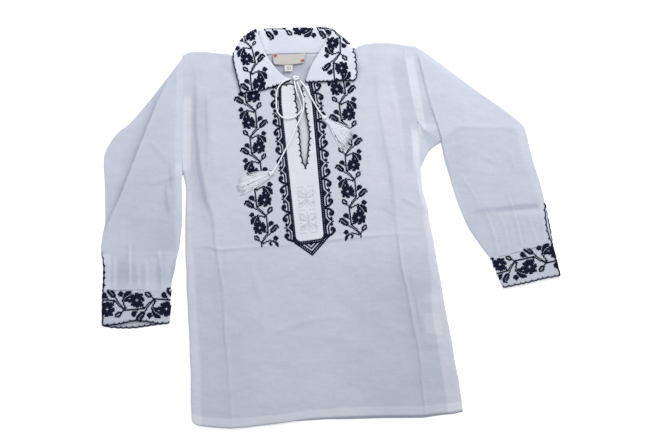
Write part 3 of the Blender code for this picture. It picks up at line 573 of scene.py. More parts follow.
# how dark the painted shade of the two long creases is, down the body
CREASE_SHADE = (
    ((235, 0.2), (190, 0.9), (160, 1.5), (120, 1.9), (80, 1.5), (31, 1.2), (8, 0.8), (-60, 0.4),
     (-160, 0.4), (-290, 0.1)),
    ((250, 0.1), (187, 0.3), (155, 0.5), (108, 0.65), (41, 0.55), (7, 0.45), (-27, 0.55), (-102, 0.75),
     (-183, 0.55), (-285, 0.2)),
)
# seam allowances that show through below the arms: how wide, and how light
RIGHT_ALLOWANCE = ((20, 8), (-17, 10), (-75, 13), (-125, 20), (-136, 22), (-290, 23))
LEFT_ALLOWANCE = ((75, 6), (40, 9), (-20, 9), (-60, 14), (-290, 15))
LEFT_ALLOWANCE_TONE = ((75, 0.3), (30, 0.45), (-10, 0.2), (-70, 0.55), (-290, 0.55))
FRONT_LEVEL = 2.35
PUFF = 1.0
SHOULDER_LINE = 250.0


def front_height(x, y):
    """Middle of the front cloth over the table."""
    left, right = read(LEFT_SIDE, y), read(RIGHT_SIDE, y)
    inside = np.minimum(x - left, right - x)
    t = np.clip((x - left) / (right - left), 0, 1)
    shoulder = np.sin(math.pi * np.clip((y - 72) / 186, 0, 1)) ** 0.7 * (1 - t)
    shoulder += np.sin(math.pi * np.clip((y - 120) / 156, 0, 1)) ** 0.7 * t
    inner = smooth(np.minimum(t, 1 - t) * 9)
    crown = np.where(x < -48, read(FRONT_TOP_LEFT, x), read(FRONT_TOP_RIGHT, x))
    crown = np.where((x > -151) & (x < 37), 262.0, crown)
    near_top = smooth((crown - y) / 26 + 0.02)
    over_hem = y - read(FRONT_HEM, x)
    rise = PUFF * (shoulder * (1 - inner) + inner * 1.1) * near_top * (smooth(over_hem / 40) * 0.5 + 0.5)
    lap = smooth(6 * shoulder * (1 - inner)) * np.where(t > 0.5, smooth((y - 132) / 18), 1)
    seam = 1.25 * (1 - smooth(inside / 5.0)) * (1 - lap)
    seam = seam - lap * (0.25 * (1 - smooth((inside - 1) / 3.0)) - 0.6 * (1 - smooth((inside + 1.8) / 2.2)))
    wave = 0.22 * np.sin(x / 23 + np.sin(y / 31)) * np.sin(y / 37 + 1.3 * np.sin(x / 41)) * smooth(inside / 20)
    turned = 0.3 * smooth((HEM_TURN - over_hem) / 1.5) - 0.7 * (1 - smooth(over_hem / 2.5))
    return (FRONT_LEVEL + rise + wave - seam + turned + ridges(x, y, FRONT_CREASES) * near_top
            + neck_raise(x, y))


def front_tone(x, y):
    """Lighter where the cloth is turned double or lies over seam allowances, with painted light and shade."""
    from_left, from_right = x - read(LEFT_SIDE, y), read(RIGHT_SIDE, y) - x
    over_hem = y - read(FRONT_HEM, x)
    tone = 0.48 * smooth((HEM_TURN - over_hem) / 1.2) - 0.25 * bell(over_hem - HEM_TURN, 1.1)
    # allowances below the arms, then beside the armholes
    low = read(LEFT_ALLOWANCE_TONE, y) * smooth((read(LEFT_ALLOWANCE, y) - from_left) / 1.5)
    low += 0.58 * smooth((read(RIGHT_ALLOWANCE, y) - from_right) / 1.5)
    tone += low * smooth((90 - y) / 20)
    tone += 0.65 * smooth((13 - from_left) / 1.5) * window(y, 72, 12, 198, 16)
    strip = smooth((10.5 - from_right) / 1.5) * window(y, 70, 12, 146, 10)
    tone += (0.47 * strip - 0.45 * (1 - strip) * smooth((26 - from_right) / 8)) * window(y, 70, 20, 262, 20)
    # painted shade on the body side of the left long crease
    tone -= 0.3 * window(x, -205, 4, -176, 14) * window(y, 90, 25, 200, 25)
    # painted shade along the two long creases, painted light and shade at the one across, and painted shade in
    # the wrinkles
    for (_, _, line), dark in zip(FRONT_CREASES, CREASE_SHADE):
        gap, share = beyond(x, y, line)
        low = smooth((-y - 5) / 40)
        soft = 2.6 + 0.8 * np.sin(share * 19 + 1) * (1 - low) - 1.0 * low
        core = (1 + 0.5 * low) * bell(gap + 0.6 * np.sin(share * 31), soft)
        tone += 0.25 * low * bell(gap + 3.2, 1.6) - read(dark, y) * (core + 0.28 * bell(gap - 7, 7))
    across = FRONT_CREASES[2][2]
    gap, share = to_line(x, y, across)
    gap = gap * np.where(y > read(across, x), 1, -1)
    tone += (fade(share, 9, 9) * (0.7 + 0.5 * np.sin(x / 31 + 1))
             * (0.28 * bell(gap - 2.2, 1.6) - 0.5 * bell(gap + 1.4, 2.2)))
    tone += wrinkle_shade(x, y, FRONT_WRINKLES, 1.3)
    # the care label shows faintly; painted light on the breast and painted shade over the skirt, as the light
    # falls off
    tone += 0.40 * zone(x, y, [(138.0, -137.0), (163.5, -138.0), (164.5, -168.5), (140.5, -168.0)], 1.2)
    tone += 0.2 * smooth((x - 30) / 40) * window(y, 20, 60, 215, 20)
    tone -= (0.15 + 0.35 * smooth((x + 20) / 120) + 0.15 * smooth((-100 - x) / 60)) * smooth((-20 - y) / 80)
    return tone


def halves(tops, foot, sides, cols, rows, start, drop):
    """The two sides of a panel with the slit in it; below the slit they share points."""
    left = panel(tops[0], foot, sides[0], SLIT_LEFT, cols[0], rows, start, drop)
    right = panel(tops[1], foot, SLIT_RIGHT, sides[1], cols[1], rows, start, drop)
    closed = left[1][:, -1] < SLIT_FOOT
    for a, b in zip(left, right):
        b[closed, 0] = a[closed, -1]
    return left, right


# above the underarms the front's edge laps the seams of sleeves and gusset
LAP = 1.8
LEFT_PIT, RIGHT_PIT = 76.5, 79
sides = ([(y, x - LAP * (y > LEFT_PIT)) for y, x in LEFT_SIDE],
         [(y, x + LAP * (y > RIGHT_PIT)) for y, x in RIGHT_SIDE])
plans = halves((FRONT_TOP_LEFT, FRONT_TOP_RIGHT), FRONT_HEM, sides, (70, 68), 222, BODY_START, BODY_DROP)
front = cloth("front_cloth", [np.dstack([x, y, front_height(x, y)]) for x, y in plans],
              [front_tone(x, y) for x, y in plans], body_cotton, "cotton_body", "front_panel")

# ==== Facing: a narrow, whiter panel sewn over the slit, round at its lower corners.
# Its two halves meet below the slit.

FACING_LEFT = (
    (209, -74.6), (180, -73.8), (130, -68.2), (80, -62.6), (30, -57), (-10, -52.6), (-22, -51.2),
    (-40, -50.6),
)
FACING_RIGHT = (
    (209, -33), (198, -30.4), (184, -28.2), (168, -26.6), (130, -23.3), (80, -18.9), (30, -14.5),
    (-10, -11), (-22, -9.9), (-40, -9.2),
)
FACING_FOOT = (
    (-51, -24.5), (-49.4, -28.6), (-46, -31), (-43, -31.4), (-30, -29.8), (-18, -28), (-13.4, -27),
    (-11, -24.6), (-9.9, -20.5),
)
FACING_CROWN_LEFT = ((-74.6, 207.4), (-66.0, 209.6), (-53.8, 208.7))
FACING_CROWN_RIGHT = ((-42.8, 208.0), (-33.0, 207.4))
FACING_THICK = 0.6


def facing_height(x, y):
    """Middle of the facing: on the front cloth, rounded down at its two long edges."""
    inset = np.minimum(x - read(FACING_LEFT, y), read(FACING_RIGHT, y) - x)
    return front_height(x, y) + 0.85 - 0.22 * (1 - smooth(inset / 2.0)) + 0.12 * smooth((6 - inset) / 2.0)


plans = halves((FACING_CROWN_LEFT, FACING_CROWN_RIGHT), FACING_FOOT, (FACING_LEFT, FACING_RIGHT), (20, 20),
               130, 208, 238)
facing_cotton = cotton("facing_cotton", (0.600, 0.612, 0.675), slubs=0.6, wrinkles=0.5)
facing = cloth("facing_cloth", [np.dstack([x, y, facing_height(x, y)]) for x, y in plans],
               [0.35 + 0.15 * bell(x - read(FACING_LEFT, y), 3) for x, y in plans],
               facing_cotton, "cotton_facing", "front_facing", thick=FACING_THICK)

# ==== Sleeves: each a tube of one width of cotton, pressed flat, set straight on to
# the body and gathered into its cuff.

# sleeve stations: outer edge point, inner edge point of the outline
LEFT_STATIONS = (
    (-224.4, 256.2, -222.4, 74.6), (-238.6, 236.4, -223.9, 61), (-256.8, 211.4, -223.2, 48),
    (-279.2, 181, -222.6, 34), (-304.6, 150.2, -222.2, 20), (-322.8, 135, -221.9, 6),
    (-338.6, 110, -222, -6), (-342.2, 90, -222.6, -16), (-340.7, 70, -223.7, -28),
    (-338.8, 46, -224.8, -40), (-337.6, 21, -226.8, -50), (-337, -2, -229, -60), (-340.4, -24, -230.4, -71),
    (-341.4, -45, -232.2, -80), (-336.8, -70, -234.4, -88), (-335.8, -88, -235, -95),
    (-336, -106, -235.6, -102.4),
)
RIGHT_STATIONS = (
    (111, 273.6, 129.2, 155.4), (120, 272.8, 148, 134), (129.6, 271.4, 162.6, 126.4),
    (134.4, 269.4, 168, 122), (146.4, 261.4, 170.6, 108), (163, 249.2, 173.4, 92), (183, 233.4, 177.6, 77),
    (203, 217.6, 181.8, 62), (224, 201.4, 186, 47), (246, 185.6, 190.4, 32), (267, 169.8, 196, 17),
    (291.6, 148.8, 201.8, 1.5), (298, 135, 206.6, -9), (302.6, 112, 211.6, -17.6), (308.2, 88, 216.4, -25),
    (314.8, 65, 220.8, -31.4), (320.2, 42, 225.6, -38.4), (323.8, 19, 230.4, -45.4),
    (327.4, -6, 235, -51.2), (332, -34.6, 239.8, -57.4),
)
# pressed folds: the upper cloth of each sleeve stops along this line
LEFT_FOLD = (
    (-243, 226), (-262.5, 185.6), (-280.6, 135.7), (-301.4, 77), (-318, 31.2), (-332.4, -4.4), (-341, -24),
)
RIGHT_FOLD = ((134, 262), (143.6, 217.1), (153.8, 177.1), (162.9, 146.3), (169.2, 124))
# creases: height, half width, then the line, with the gathers at the cuff first
LEFT_SLEEVE_CREASES = (
    (0.8, 2.2, ((-299, -30), (-297, -70), (-296, -103))), (0.6, 2, ((-273, -60), (-270, -103))),
    (0.7, 2.2, ((-256, -40), (-250, -75), (-248, -103))), (0.6, 2.2, ((-320, -52), (-318, -103))),
    (0.6, 2, ((-285, -62), (-283, -103))), (0.4, 1.6, ((-337, -47), (-284, -51), (-221, -50))),
    (0.6, 3, ((-275, 52), (-257, 58), (-230, 68))), (0.7, 2.4, ((-247, 50), (-246, 27), (-241, 4))),
    (0.5, 4, ((-276, 120), (-254, 100), (-244, 84))), (0.6, 4.5, ((-262, 30), (-268, -20), (-262, -60))),
    (0.5, 5, ((-300, 40), (-310, 0), (-312, -50))), (0.5, 4, ((-330, 120), (-310, 141), (-288, 147))),
    (0.5, 4, ((-318, 110), (-326, 60), (-331, 10))),
)
RIGHT_SLEEVE_CREASES = (
    (0.5, 2, ((230, 20), (240, -3), (248, -30), (252, -56))),
    (0.6, 1.8, ((268, 42), (280, -3), (288, -44))),
    (0.3, 2.2, ((197, 72), (207, 55), (218, 38), (226, 18))), (0.4, 2, ((252, 14), (262, -10), (268, -48))),
    (0.4, 2.2, ((297, 9), (304, -14), (312, -38))), (0.4, 1.8, ((316, 18), (320, -8), (322, -36))),
    (0.5, 1.6, ((206, 9.5), (260, 14.5), (314, 19.5))),
    (0.6, 3, ((294, 143), (238, 143), (197, 144), (172, 126))), (0.5, 2.5, ((179, 110), (202, 117))),
    (0.6, 2.5, ((272, 108), (276, 78))), (0.5, 4, ((228, 96), (246, 92), (262, 84))),
    (0.5, 3, ((201, 190), (205, 150), (203, 135))),
)
LEFT_SLEEVE_WRINKLES = (
    (0.75, ((-247, 62), (-247, 46), (-245, 27), (-239, 4))), (0.4, ((-278, 50), (-257, 58), (-228, 68))),
    (0.3, ((-276, 122), (-254, 100), (-244, 84))), (0.45, ((-244, 96), (-241, 70), (-238, 40))),
)
SLEEVE_BEND = (2.35 - CLOTH / 2) / 2
BEND_TURNS = (-60, -30, 0, 30, 60)


def slant(line, across):
    """How much longer an edge bend is along the section than square to the edge."""
    run = unit(np.gradient(line, axis=0))
    return 1 / np.maximum(0.12, np.abs(run[:, 0] * across[:, 1] - run[:, 1] * across[:, 0]))


def sleeve(stations, upper, low_cols, up_cols):
    """Rings of a sleeve laid flat: flat below, bent round at both edges."""
    line = along(stations, 3.4)
    outer, inner = line[:, :2], line[:, 2:]
    span = np.linalg.norm(outer - inner, axis=1)
    across = (outer - inner) / span[:, None]
    inset = CLOTH / 2 + SLEEVE_BEND
    start, stop = inset * slant(inner, across), span - inset * slant(outer, across)
    bends = [(math.cos(turn), CLOTH / 2 + SLEEVE_BEND * (1 + math.sin(turn)) + 0 * span)
             for turn in np.radians(BEND_TURNS)]
    ring = [(start + (stop - start) * t, CLOTH / 2 + 0 * span) for t in np.linspace(0, 1, low_cols + 1)]
    ring += [(stop + (span - CLOTH / 2 - stop) * out, high) for out, high in bends]
    for t in np.linspace(1, 0, up_cols + 1):
        here = start + (stop - start) * t
        x, y = (inner + across * here[:, None]).T
        ring.append((here, CLOTH / 2 + 2 * SLEEVE_BEND + upper(x, y, t)))
    ring += [(start - (start - CLOTH / 2) * out, high) for out, high in reversed(bends)]
    s, z = (np.stack(part, 1) for part in zip(*ring))
    return np.dstack([inner[:, None] + across[:, None] * s[..., None], z])


def left_upper(x, y, t):
    """Upper cloth of the left sleeve, stepped down past its long fold."""
    arch = math.sin(math.pi * t) ** 0.7
    gap, share = beyond(x, y, LEFT_FOLD)
    lift = 1.9 * fade(share, 5, 4) * (1 - smooth((gap + 1.2) / 2.4)) * (1 - smooth((-gap - 15) / 45))
    lift = lift * (1 - smooth((y - 40) / 40) * (1 - smooth((-222 - x) / 22)))
    wave = 0.25 * np.sin(x / 17 + np.sin(y / 29)) * np.sin(y / 26)
    flat_part = np.where((gap > 0) & (share < 0.98), 0.35, 1.0)
    return (PUFF * flat_part + wave) * arch + lift + ridges(x, y, LEFT_SLEEVE_CREASES) * min(1.0, 6 * arch)


def right_upper(x, y, t):
    """Upper cloth of the right sleeve, lying on top beyond its fold by the body."""
    arch = math.sin(math.pi * t) ** 0.7
    gap, share = beyond(x, y, RIGHT_FOLD)
    past = smooth((-gap + 1.0) / 2.0) * smooth(share * 8 + 0.1)
    step = 1.5 * (1 - smooth((-gap - 25) / 60)) * past
    wave = 0.22 * np.sin(x / 19 + np.sin(y / 23)) * np.sin(y / 31 + x / 60)
    return ((PUFF * (1 + 0.15 * past) + wave) * arch + step * min(1.0, 3 * arch)
            + ridges(x, y, RIGHT_SLEEVE_CREASES) * min(1.0, 6 * arch))


def left_sleeve_tone(x, y):
    """Lighter over the seam allowance, with painted light along creases and painted shadow under the fold."""
    gap, share = beyond(x, y, LEFT_FOLD)
    past, ends = np.clip(gap, 0, None), fade(share, 14, 12)
    # painted shadow cast by the fold on the cloth under it, and a painted highlight along its edge
    under = (1.35 * np.exp(-past / 4.5) + 0.45 * np.exp(-past / 18)) * (0.45 + 0.55 * smooth(share * 3.2))
    tone = (0.15 * bell(gap + 2.2, 1.8) + (0.18 - under) * (gap > 0)) * ends
    # painted shade on the open cloth, darker towards the wrist as the light falls off
    tone -= 0.22 * smooth((110 - y) / 60) * (gap <= 0)
    # allowances of the underarm seam and of the armhole
    tone += 0.5 * smooth((10.5 - np.abs(x + 224 - 8 * smooth(-y / 90))) / 4) * smooth((92 - y) / 10)
    tone += 0.35 * smooth((x + 236) / 3) * smooth((y - 60) / 20)
    # painted light and shade over the gathers above the cuff, and the doubled cloth at the wrist and its slit
    ripple = np.sin(x / 6.1 + 2 * np.sin(x / 13))
    tone += 0.15 * smooth((-y - 45) / 5) - (0.42 + 0.25 * ripple) * smooth((-y - 60 + 9 * ripple) / 20)
    tone += 0.5 * smooth((-y - 84) / 16) + 0.75 * smooth((-324.5 - x) / 3) * smooth((-y - 48) / 4)
    tone += ((0.30 * smooth((-x - 288) / 30) - 0.25 * smooth((x + 272) / 16)) * smooth((40 - y) / 60)
             * (1 - smooth((-y - 42) / 6)))
    # painted shade in the wrinkles, and painted light and shade along the creases
    tone += wrinkle_shade(x, y, LEFT_SLEEVE_WRINKLES, 2.2)
    return tone + 0.7 * crease_tones(x, y, LEFT_SLEEVE_CREASES[:5])


def right_sleeve_tone(x, y):
    """Painted shadow where the seam is turned in, and a band of painted shadow above the wrist's pressed
    crease.
    """
    gap, share = beyond(x, y, RIGHT_FOLD)
    past = np.clip(gap, 0, None)
    # painted shadow cast beside the fold, a painted highlight on its edge, then painted shade towards the wrist
    tone = 0.15 * bell(gap + 2.0, 1.6) - (0.55 * np.exp(-past / 1.8) + 0.35 * np.exp(-past / 10)) * (gap > 0)
    tone = tone * smooth(share * 9) * (1 - 0.5 * smooth(share * 5 - 3.5)) + 0.10 - 0.32 * smooth((12 - y) / 8)
    # allowances beside the armhole and under the arm, and the shade over the gusset
    tone += 0.6 * smooth((read(RIGHT_SIDE, y) + 15 - x) / 2.5) * window(y, 128, 8, 262, 16)
    tone += 0.35 * zone(x, y, [(126, 153), (160, 147.5), (164, 139.5), (126, 134)], 1.5) * smooth(gap / 1.5)
    tone -= 0.2 * zone(x, y, [(140, 178), (152, 178), (158, 150), (143, 152)], 4) * (gap > 0)
    tone -= 0.28 * zone(x, y, [(170, 124), (192, 144), (282, 142), (291, 98), (309, 46), (316, 19), (204, 9),
                               (190, 51), (176, 100)], 7.0)
    # painted shadow in a band above the pressed crease over the wrist
    band = zone(x, y, [(206, 9.5), (222, 18), (308, 26), (315, 19.5), (260, 14.5)], 2.5)
    tone -= (0.6 + 0.5 * smooth((x - 230) / 50)) * band
    return tone + 0.6 * crease_tones(x, y, RIGHT_SLEEVE_CREASES[:6])


sleeve_cotton = cotton("sleeve_cotton", (0.495, 0.520, 0.600))
for name, stations, upper, tone_of in (("sleeve_left", LEFT_STATIONS, left_upper, left_sleeve_tone),
                                       ("sleeve_right", RIGHT_STATIONS, right_upper, right_sleeve_tone)):
    grid = sleeve(stations, upper, 12, 76)
    tone = np.where(grid[..., 2] > 1.0, tone_of(grid[..., 0], grid[..., 1]), 0.0)
    piece = cloth(name + "_cloth", [grid], [tone], sleeve_cotton, "cotton_sleeve", name, ring=True)

# ==== Underarm gussets: small squares let in between sleeve and body.  The right one
# shows, folded in two; only a corner of the left one does.

# body edge point, folded edge point
GUSSET = (
    (128.6, 154.5, 134.6, 153.6), (129.4, 141, 148.5, 138.6), (130.2, 129, 160.5, 129.6),
    (131, 119.5, 169.4, 122.6), (131.8, 112.5, 158.5, 114.4), (132.4, 104.5, 150, 106.4),
    (133.4, 93, 143, 93.8), (134.6, 79, 136.4, 80),
)
t = np.linspace(0, 1, 13)[None, :]
plan = between(along(GUSSET, 3.0), t)
x, y = plan[..., 0], plan[..., 1]
meets = smooth((y - 116) / 8) * smooth((t - 0.35) / 0.6)
grids = [np.dstack([plan, z + 0 * x]) for z in (CLOTH / 2, 0.85 + 0.55 * np.sin(math.pi * t) ** 0.6 + meets)]
tone = 0.05 + 0.4 * smooth((138 - x) / 2)
tone = tone - 0.45 * zone(x, y, [(140, 140), (175, 140), (175, 112), (150, 106)], 2.5)
right_gusset = cloth("gusset_right_cloth", grids, [0.2 + 0 * x, tone], sleeve_cotton, "cotton_sleeve",
                     "gusset_right")
corner = [[(-223.8, 70.0), (-220.6, 71.0)], [(-224.6, 74.5), (-219.8, 74.5)], [(-224.8, 80.5), (-219.6, 80.5)]]
grid = np.dstack([np.array(corner), np.full((3, 2), 0.8)])
left_gusset = cloth("gusset_left_cloth", [grid], [np.full((3, 2), -0.8)], sleeve_cotton, "cotton_sleeve",
                    "gusset_left", thick=0.6)

# ==== Cuffs: bands of double cotton folded at the inner edge, open along the wrist
# slit, standing a little apart at the lower edge.

# corners: top outer, top inner, low outer, low inner; then for each layer the share
# of the way from the slit to the fold -> how far its lower edge falls short
CUFFS = {
    "cuff_left": (
        ((-337.4, -103.2), (-236.0, -99.6), (-336.0, -155.4), (-236.2, -151.6)),
        ((0, 0), (0.25, 1.2), (0.36, 3.6), (0.5, 6.0), (0.685, 3.4), (0.845, -0.4), (1, 0)),
        ((0, 0), (0.12, -3.0), (0.3, -4.6), (0.475, -4.9), (0.635, -3.4), (0.83, -1.2), (1, 0)),
    ),
    "cuff_right": (
        ((330.7, -30.2), (238.4, -53.6), (342.0, -81.4), (255.6, -99.6)),
        ((0, 0), (0.3, 0.8), (0.6, -0.3), (1, 0)),
        ((0, 0.5), (0.5, 1.4), (1, 0)),
    ),
}
CUFF_THICK = 0.8
CUFF_LEVEL = 2.45     # middle of the upper layer
CUFF_BEND = (CUFF_LEVEL - CUFF_THICK / 2) / 2
cuff_cotton = cotton("cuff_cotton", (0.460, 0.480, 0.550), slubs=0.9, wrinkles=0.8)
cuff_layers = {}
for name, (corners, front_dip, back_dip) in CUFFS.items():
    top_out, top_in, low_out, low_in = np.array(corners)
    v = np.linspace(0, 1, 23)[:, None, None]
    a, b = top_out * (1 - v) + low_out * v, top_in * (1 - v) + low_in * v
    span = np.linalg.norm(b - a, axis=2)[..., None]
    ahead, down = (b - a) / span, unit(low_out - top_out)
    inset = CUFF_THICK / 2 + CUFF_BEND
    share = np.linspace(0, 1, 45)[None, :, None]
    s = CUFF_THICK / 2 + (span - CUFF_THICK / 2 - inset) * share
    arch = np.sin(math.pi * share) ** 0.7
    z = CUFF_LEVEL + 0.75 * arch * (1 - 0.6 * v) - 0.5 * (1 - smooth(share * 22)) - 0.6 * (v < 0.01)
    z = z + 0.22 * np.sin(s / 5.3 + 1.7 * np.sin(s / 9)) * (1 - smooth(v * 2.2)) * arch
    layers = [np.concatenate([a + ahead * s - down * read(dip, share) * v ** 2, high + 0 * s], axis=2)
              for dip, high in ((front_dip, z), (back_dip, CUFF_THICK / 2))]
    turns = np.radians(BEND_TURNS[::-1])[None, :, None]
    s = span - inset + CUFF_BEND * np.cos(turns)
    fold = np.concatenate([a + ahead * s, CUFF_THICK / 2 + CUFF_BEND * (1 + np.sin(turns)) + 0 * s], axis=2)
    grid = np.concatenate([layers[0], fold, layers[1][:, ::-1]], axis=1)
    cuff_layers[name] = layers
    tone = np.full(grid.shape[:2], 0.1)
    tone[:2] += 0.25
    piece = cloth(name + "_cloth", [grid], [tone], cuff_cotton, "cotton_cuff", name, thick=CUFF_THICK)

# ==== Collar: a wide leaf of double cotton.  It lies on the front at both sides, is
# folded round at the shoulders and lies under the neck between; the stand joins
# its roll to the neck seam.

LEAF_THICK = 0.8
LEAF_UP = 1.95
LEAF_COLS = 25
# leaf stations: roll line point, outer edge point, bow of the line between
LEFT_LEAF = (
    (-61, 216.4, -135, 196.4, -3.2), (-70, 221.6, -137.4, 204, -1.6), (-78, 229, -140.4, 216, 0),
    (-86, 239, -143.2, 227, 0), (-94, 250, -146.2, 238, 0), (-101, 262, -147.8, 246, 0),
    (-106.4, 275, -148.4, 252, 0), (-111, 290.6, -147.6, 256.4, 0),
)
RIGHT_LEAF = (
    (-38, 213.4, 37.6, 216.6, 0.4), (-33, 230, 40.4, 224.6, 0), (-28, 241, 40, 233, 0),
    (-21.5, 252, 39.2, 241, 0), (-14, 264.5, 38.6, 249, 0), (-6.5, 277, 37.8, 256, 0),
    (0.6, 290.6, 35, 262, 0),
)
UNDER_LEAF = (
    (-109.2, 297, -145.4, 256.2, 0), (-107, 298.2, -140, 253.6, 0), (-98, 299.2, -122, 253, 0),
    (-77, 300, -92, 253, 0), (-51, 300.8, -56, 253.4, 0), (-24, 301.6, -22, 254, 0),
    (-4, 302.2, 10, 255.6, 0), (-1.8, 301.8, 25, 258, 0), (-0.4, 300.8, 32, 263, 0),
)
LEFT_LEAF_FOLD = ((-113, 298.4), (-122.5, 294), (-134.5, 285), (-143, 272), (-149.4, 260))
RIGHT_LEAF_FOLD = ((4.2, 303.4), (8.5, 295), (14.6, 289.4), (28.4, 276.8), (36.8, 268))
FOLD_RADIUS = (FRONT_LEVEL + NECK_RAISE + LEAF_UP - LEAF_THICK / 2) / 2


def on_front(x, y):
    """Height of the front's cloth, carried on level past the shoulder line."""
    return front_height(x, np.minimum(y, SHOULDER_LINE))


def leaf_rows(stations, high):
    """Lines of the leaf from its roll to its outer edge; on the front unless a height is given."""
    rows = []
    t = np.linspace(0, 1, LEAF_COLS)
    for x0, y0, x1, y1, bow in stations:
        x, y = x0 + (x1 - x0) * t, y0 + (y1 - y0) * t + bow * np.sin(math.pi * t)
        z = high + 0 * t
        if not high:
            z = np.maximum(on_front(x, y), 2.55 + NECK_RAISE * smooth((y - 212) / 14)) + LEAF_UP
        rows.append(np.stack([x, y, z], 1))
    return rows


def fold_rows(fold, turns):
    """Lines of the leaf where it bends round its shoulder fold."""
    line = along(fold, 2.0)
    far = np.linspace(0, 1, len(line))
    line = np.stack([np.interp(np.linspace(0, 1, LEAF_COLS), far, line[:, k]) for k in (0, 1)], 1)
    ahead = unit(line[-1] - line[0])
    out = np.array((ahead[1], -ahead[0]))
    if out @ (line[LEAF_COLS // 2] - np.array((-55.0, 235.0))) < 0:
        out = -out
    rows = []
    for turn in np.radians(turns):
        place = line - out * (LEAF_THICK / 2 + FOLD_RADIUS * (1 - math.cos(turn)))
        z = LEAF_THICK / 2 + FOLD_RADIUS * (1 + math.sin(turn))
        rows.append(np.column_stack([place, np.full(LEAF_COLS, z)]))
    return rows


rows = np.array([
    *leaf_rows(LEFT_LEAF, 0), *fold_rows(LEFT_LEAF_FOLD, (70, 35, 0, -35, -70)),
    *leaf_rows(UNDER_LEAF, LEAF_THICK / 2), *fold_rows(RIGHT_LEAF_FOLD, (-70, -35, 0, 35, 70)),
    *leaf_rows(RIGHT_LEAF[::-1], 0),
])
steps = []
for k, (row, after) in enumerate(zip(rows, rows[1:])):
    count = max(1, round(float(np.linalg.norm(after - row, axis=1).max()) / 2.6))
    steps += list(k + np.arange(count) / count)
steps = np.array(steps + [len(rows) - 1.0])
base = np.minimum(steps.astype(int), len(rows) - 2)
blend = (steps - base)[:, None, None]
collar_grid = rows[base] * (1 - blend) + rows[base + 1] * blend
x, y, z = collar_grid[..., 0], collar_grid[..., 1], collar_grid[..., 2]
z = np.where(z > FOLD_RADIUS * 1.5, z + 0.28 * np.sin(x / 9 + y / 17) * np.sin(y / 12), z)
tone = 0.5 + 0.2 * bell(1 - np.linspace(0, 1, LEAF_COLS)[None, :], 0.05) + 0 * x
collar_cotton = cotton("collar_cotton", (0.565, 0.580, 0.672), slubs=0.5, wrinkles=0.6)
collar = cloth("collar_cloth", [np.dstack([x, y, z])], [tone], collar_cotton, "cotton_collar", "collar_leaf",
               thick=LEAF_THICK)

# stand: neck seam point, roll point
STAND_BACK = (
    (-116.4, 255, -110.4, 291.6), (-108, 257.4, -101, 298.6), (-85, 259.9, -77, 299.8),
    (-54, 260.7, -51, 300.6), (-23, 261.4, -24, 301.4), (-1, 262.4, -5, 301.6), (10, 262.6, 0.6, 294),
)
STAND_LEFT = (
    (-62.6, 217, -62.2, 220.4), (-71, 217.4, -71, 223.4), (-82, 221.6, -79, 230), (-94, 231, -87.4, 241),
    (-106, 241.6, -95.4, 251.6), (-113.4, 247.8, -102, 263), (-117.6, 252, -107, 275),
)
STAND_RIGHT = (
    (12.6, 257.8, -5.6, 277.6), (8.4, 253.4, -13.6, 265.6), (1.6, 246.4, -21, 253.4),
    (-8.6, 235.6, -27.4, 242.4), (-22.4, 224.4, -32.6, 231.6), (-35, 216.4, -36.6, 219.6),
)
grids, tones = [], []
for table_rows, start in ((STAND_BACK, -0.04), (STAND_LEFT, 0.02), (STAND_RIGHT, 0.02)):
    t = np.linspace(start, 1, 21)[None, :]
    plan = between(along(table_rows, 3.0), t)
    x, y = plan[..., 0], plan[..., 1]
    tone = 0.35 + 0.10 * smooth((t - 0.5) * 2) + 0 * x
    z = on_front(x, y) + 0.35
    if table_rows is STAND_BACK:
        z = 2.75 + 0.35 * np.sin(math.pi * t) + 0.16 * np.sin(x / 11) + 0.5 * smooth((t - 0.55) / 0.3)
        z = z - 1.9 * smooth((t - 0.93) / 0.07) ** 2 - 0.3 * smooth((0.1 - t) / 0.1)
        # painted light on the stand's left end, lifting the shadow beside the left leaf
        tone += 0.45 * smooth((-96 - x + 0.3 * (y - 262)) / 7)
    grids.append(np.dstack([plan, z]))
    tones.append(tone)
stand = cloth("stand_cloth", grids, tones, collar_cotton, "cotton_collar",
              "collar_stand", "collar_stand_left", "collar_stand_right")

# ==== Labels: a soft cream neck label with plain red corner marks, a size tab with a
# plain number under it, and a blank care label in the side seam.

label_weave = cotton("label_satin", (0.470, 0.435, 0.420), slubs=0.3, wrinkles=0.2)
tab_weave = cotton("tab_satin", (0.62, 0.615, 0.60), slubs=0.2, wrinkles=0.2)
# corners, sag of the long edges, heights of the two long edges, cloth, flat size in metres
LABELS = {
    "neck_label": (((-88.8, 258.4), (-38.0, 259.6), (-40.0, 243.9), (-86.0, 241.5)), 2.0, (4.3, 4.9),
                   label_weave, (0.051, 0.016)),
    "size_label": (((-70.0, 241.6), (-57.0, 241.8), (-57.5, 230.6), (-69.4, 230.6)), 0.0, (4.1, 4.3),
                   tab_weave, (0.013, 0.0115)),
    "care_label": (((146.4, -138.6), (160.0, -139.2), (161.6, -166.0), (148.2, -165.4)), 0.0, (1.5, 1.3),
                   tab_weave, (0.014, 0.027)),
}
for name, (corners, sag, levels, paint, size) in LABELS.items():
    u, v = (share[..., None] for share in np.meshgrid(np.linspace(0, 1, 31), np.linspace(0, 1, 13)))
    a, b, c, d = np.array(corners)
    plan = a * ((1 - u) * (1 - v)) + b * (u * (1 - v)) + c * (u * v) + d * ((1 - u) * v)
    plan[..., 1:] -= sag * np.sin(math.pi * u)
    z = levels[0] * (1 - v) + levels[1] * v + 0.25 * np.sin(math.pi * 2 * u) * np.sin(math.pi * v)
    piece = cloth(name + "_cloth", [np.dstack([plan, z])], [0.5 + 0 * u], paint, "label_cream", name, thick=0.4)

# ==== Cross-stitch in navy thread: every stitch is two crossed bars of thread that
# lie on the cloth under them.  The vine and the hook border repeat.

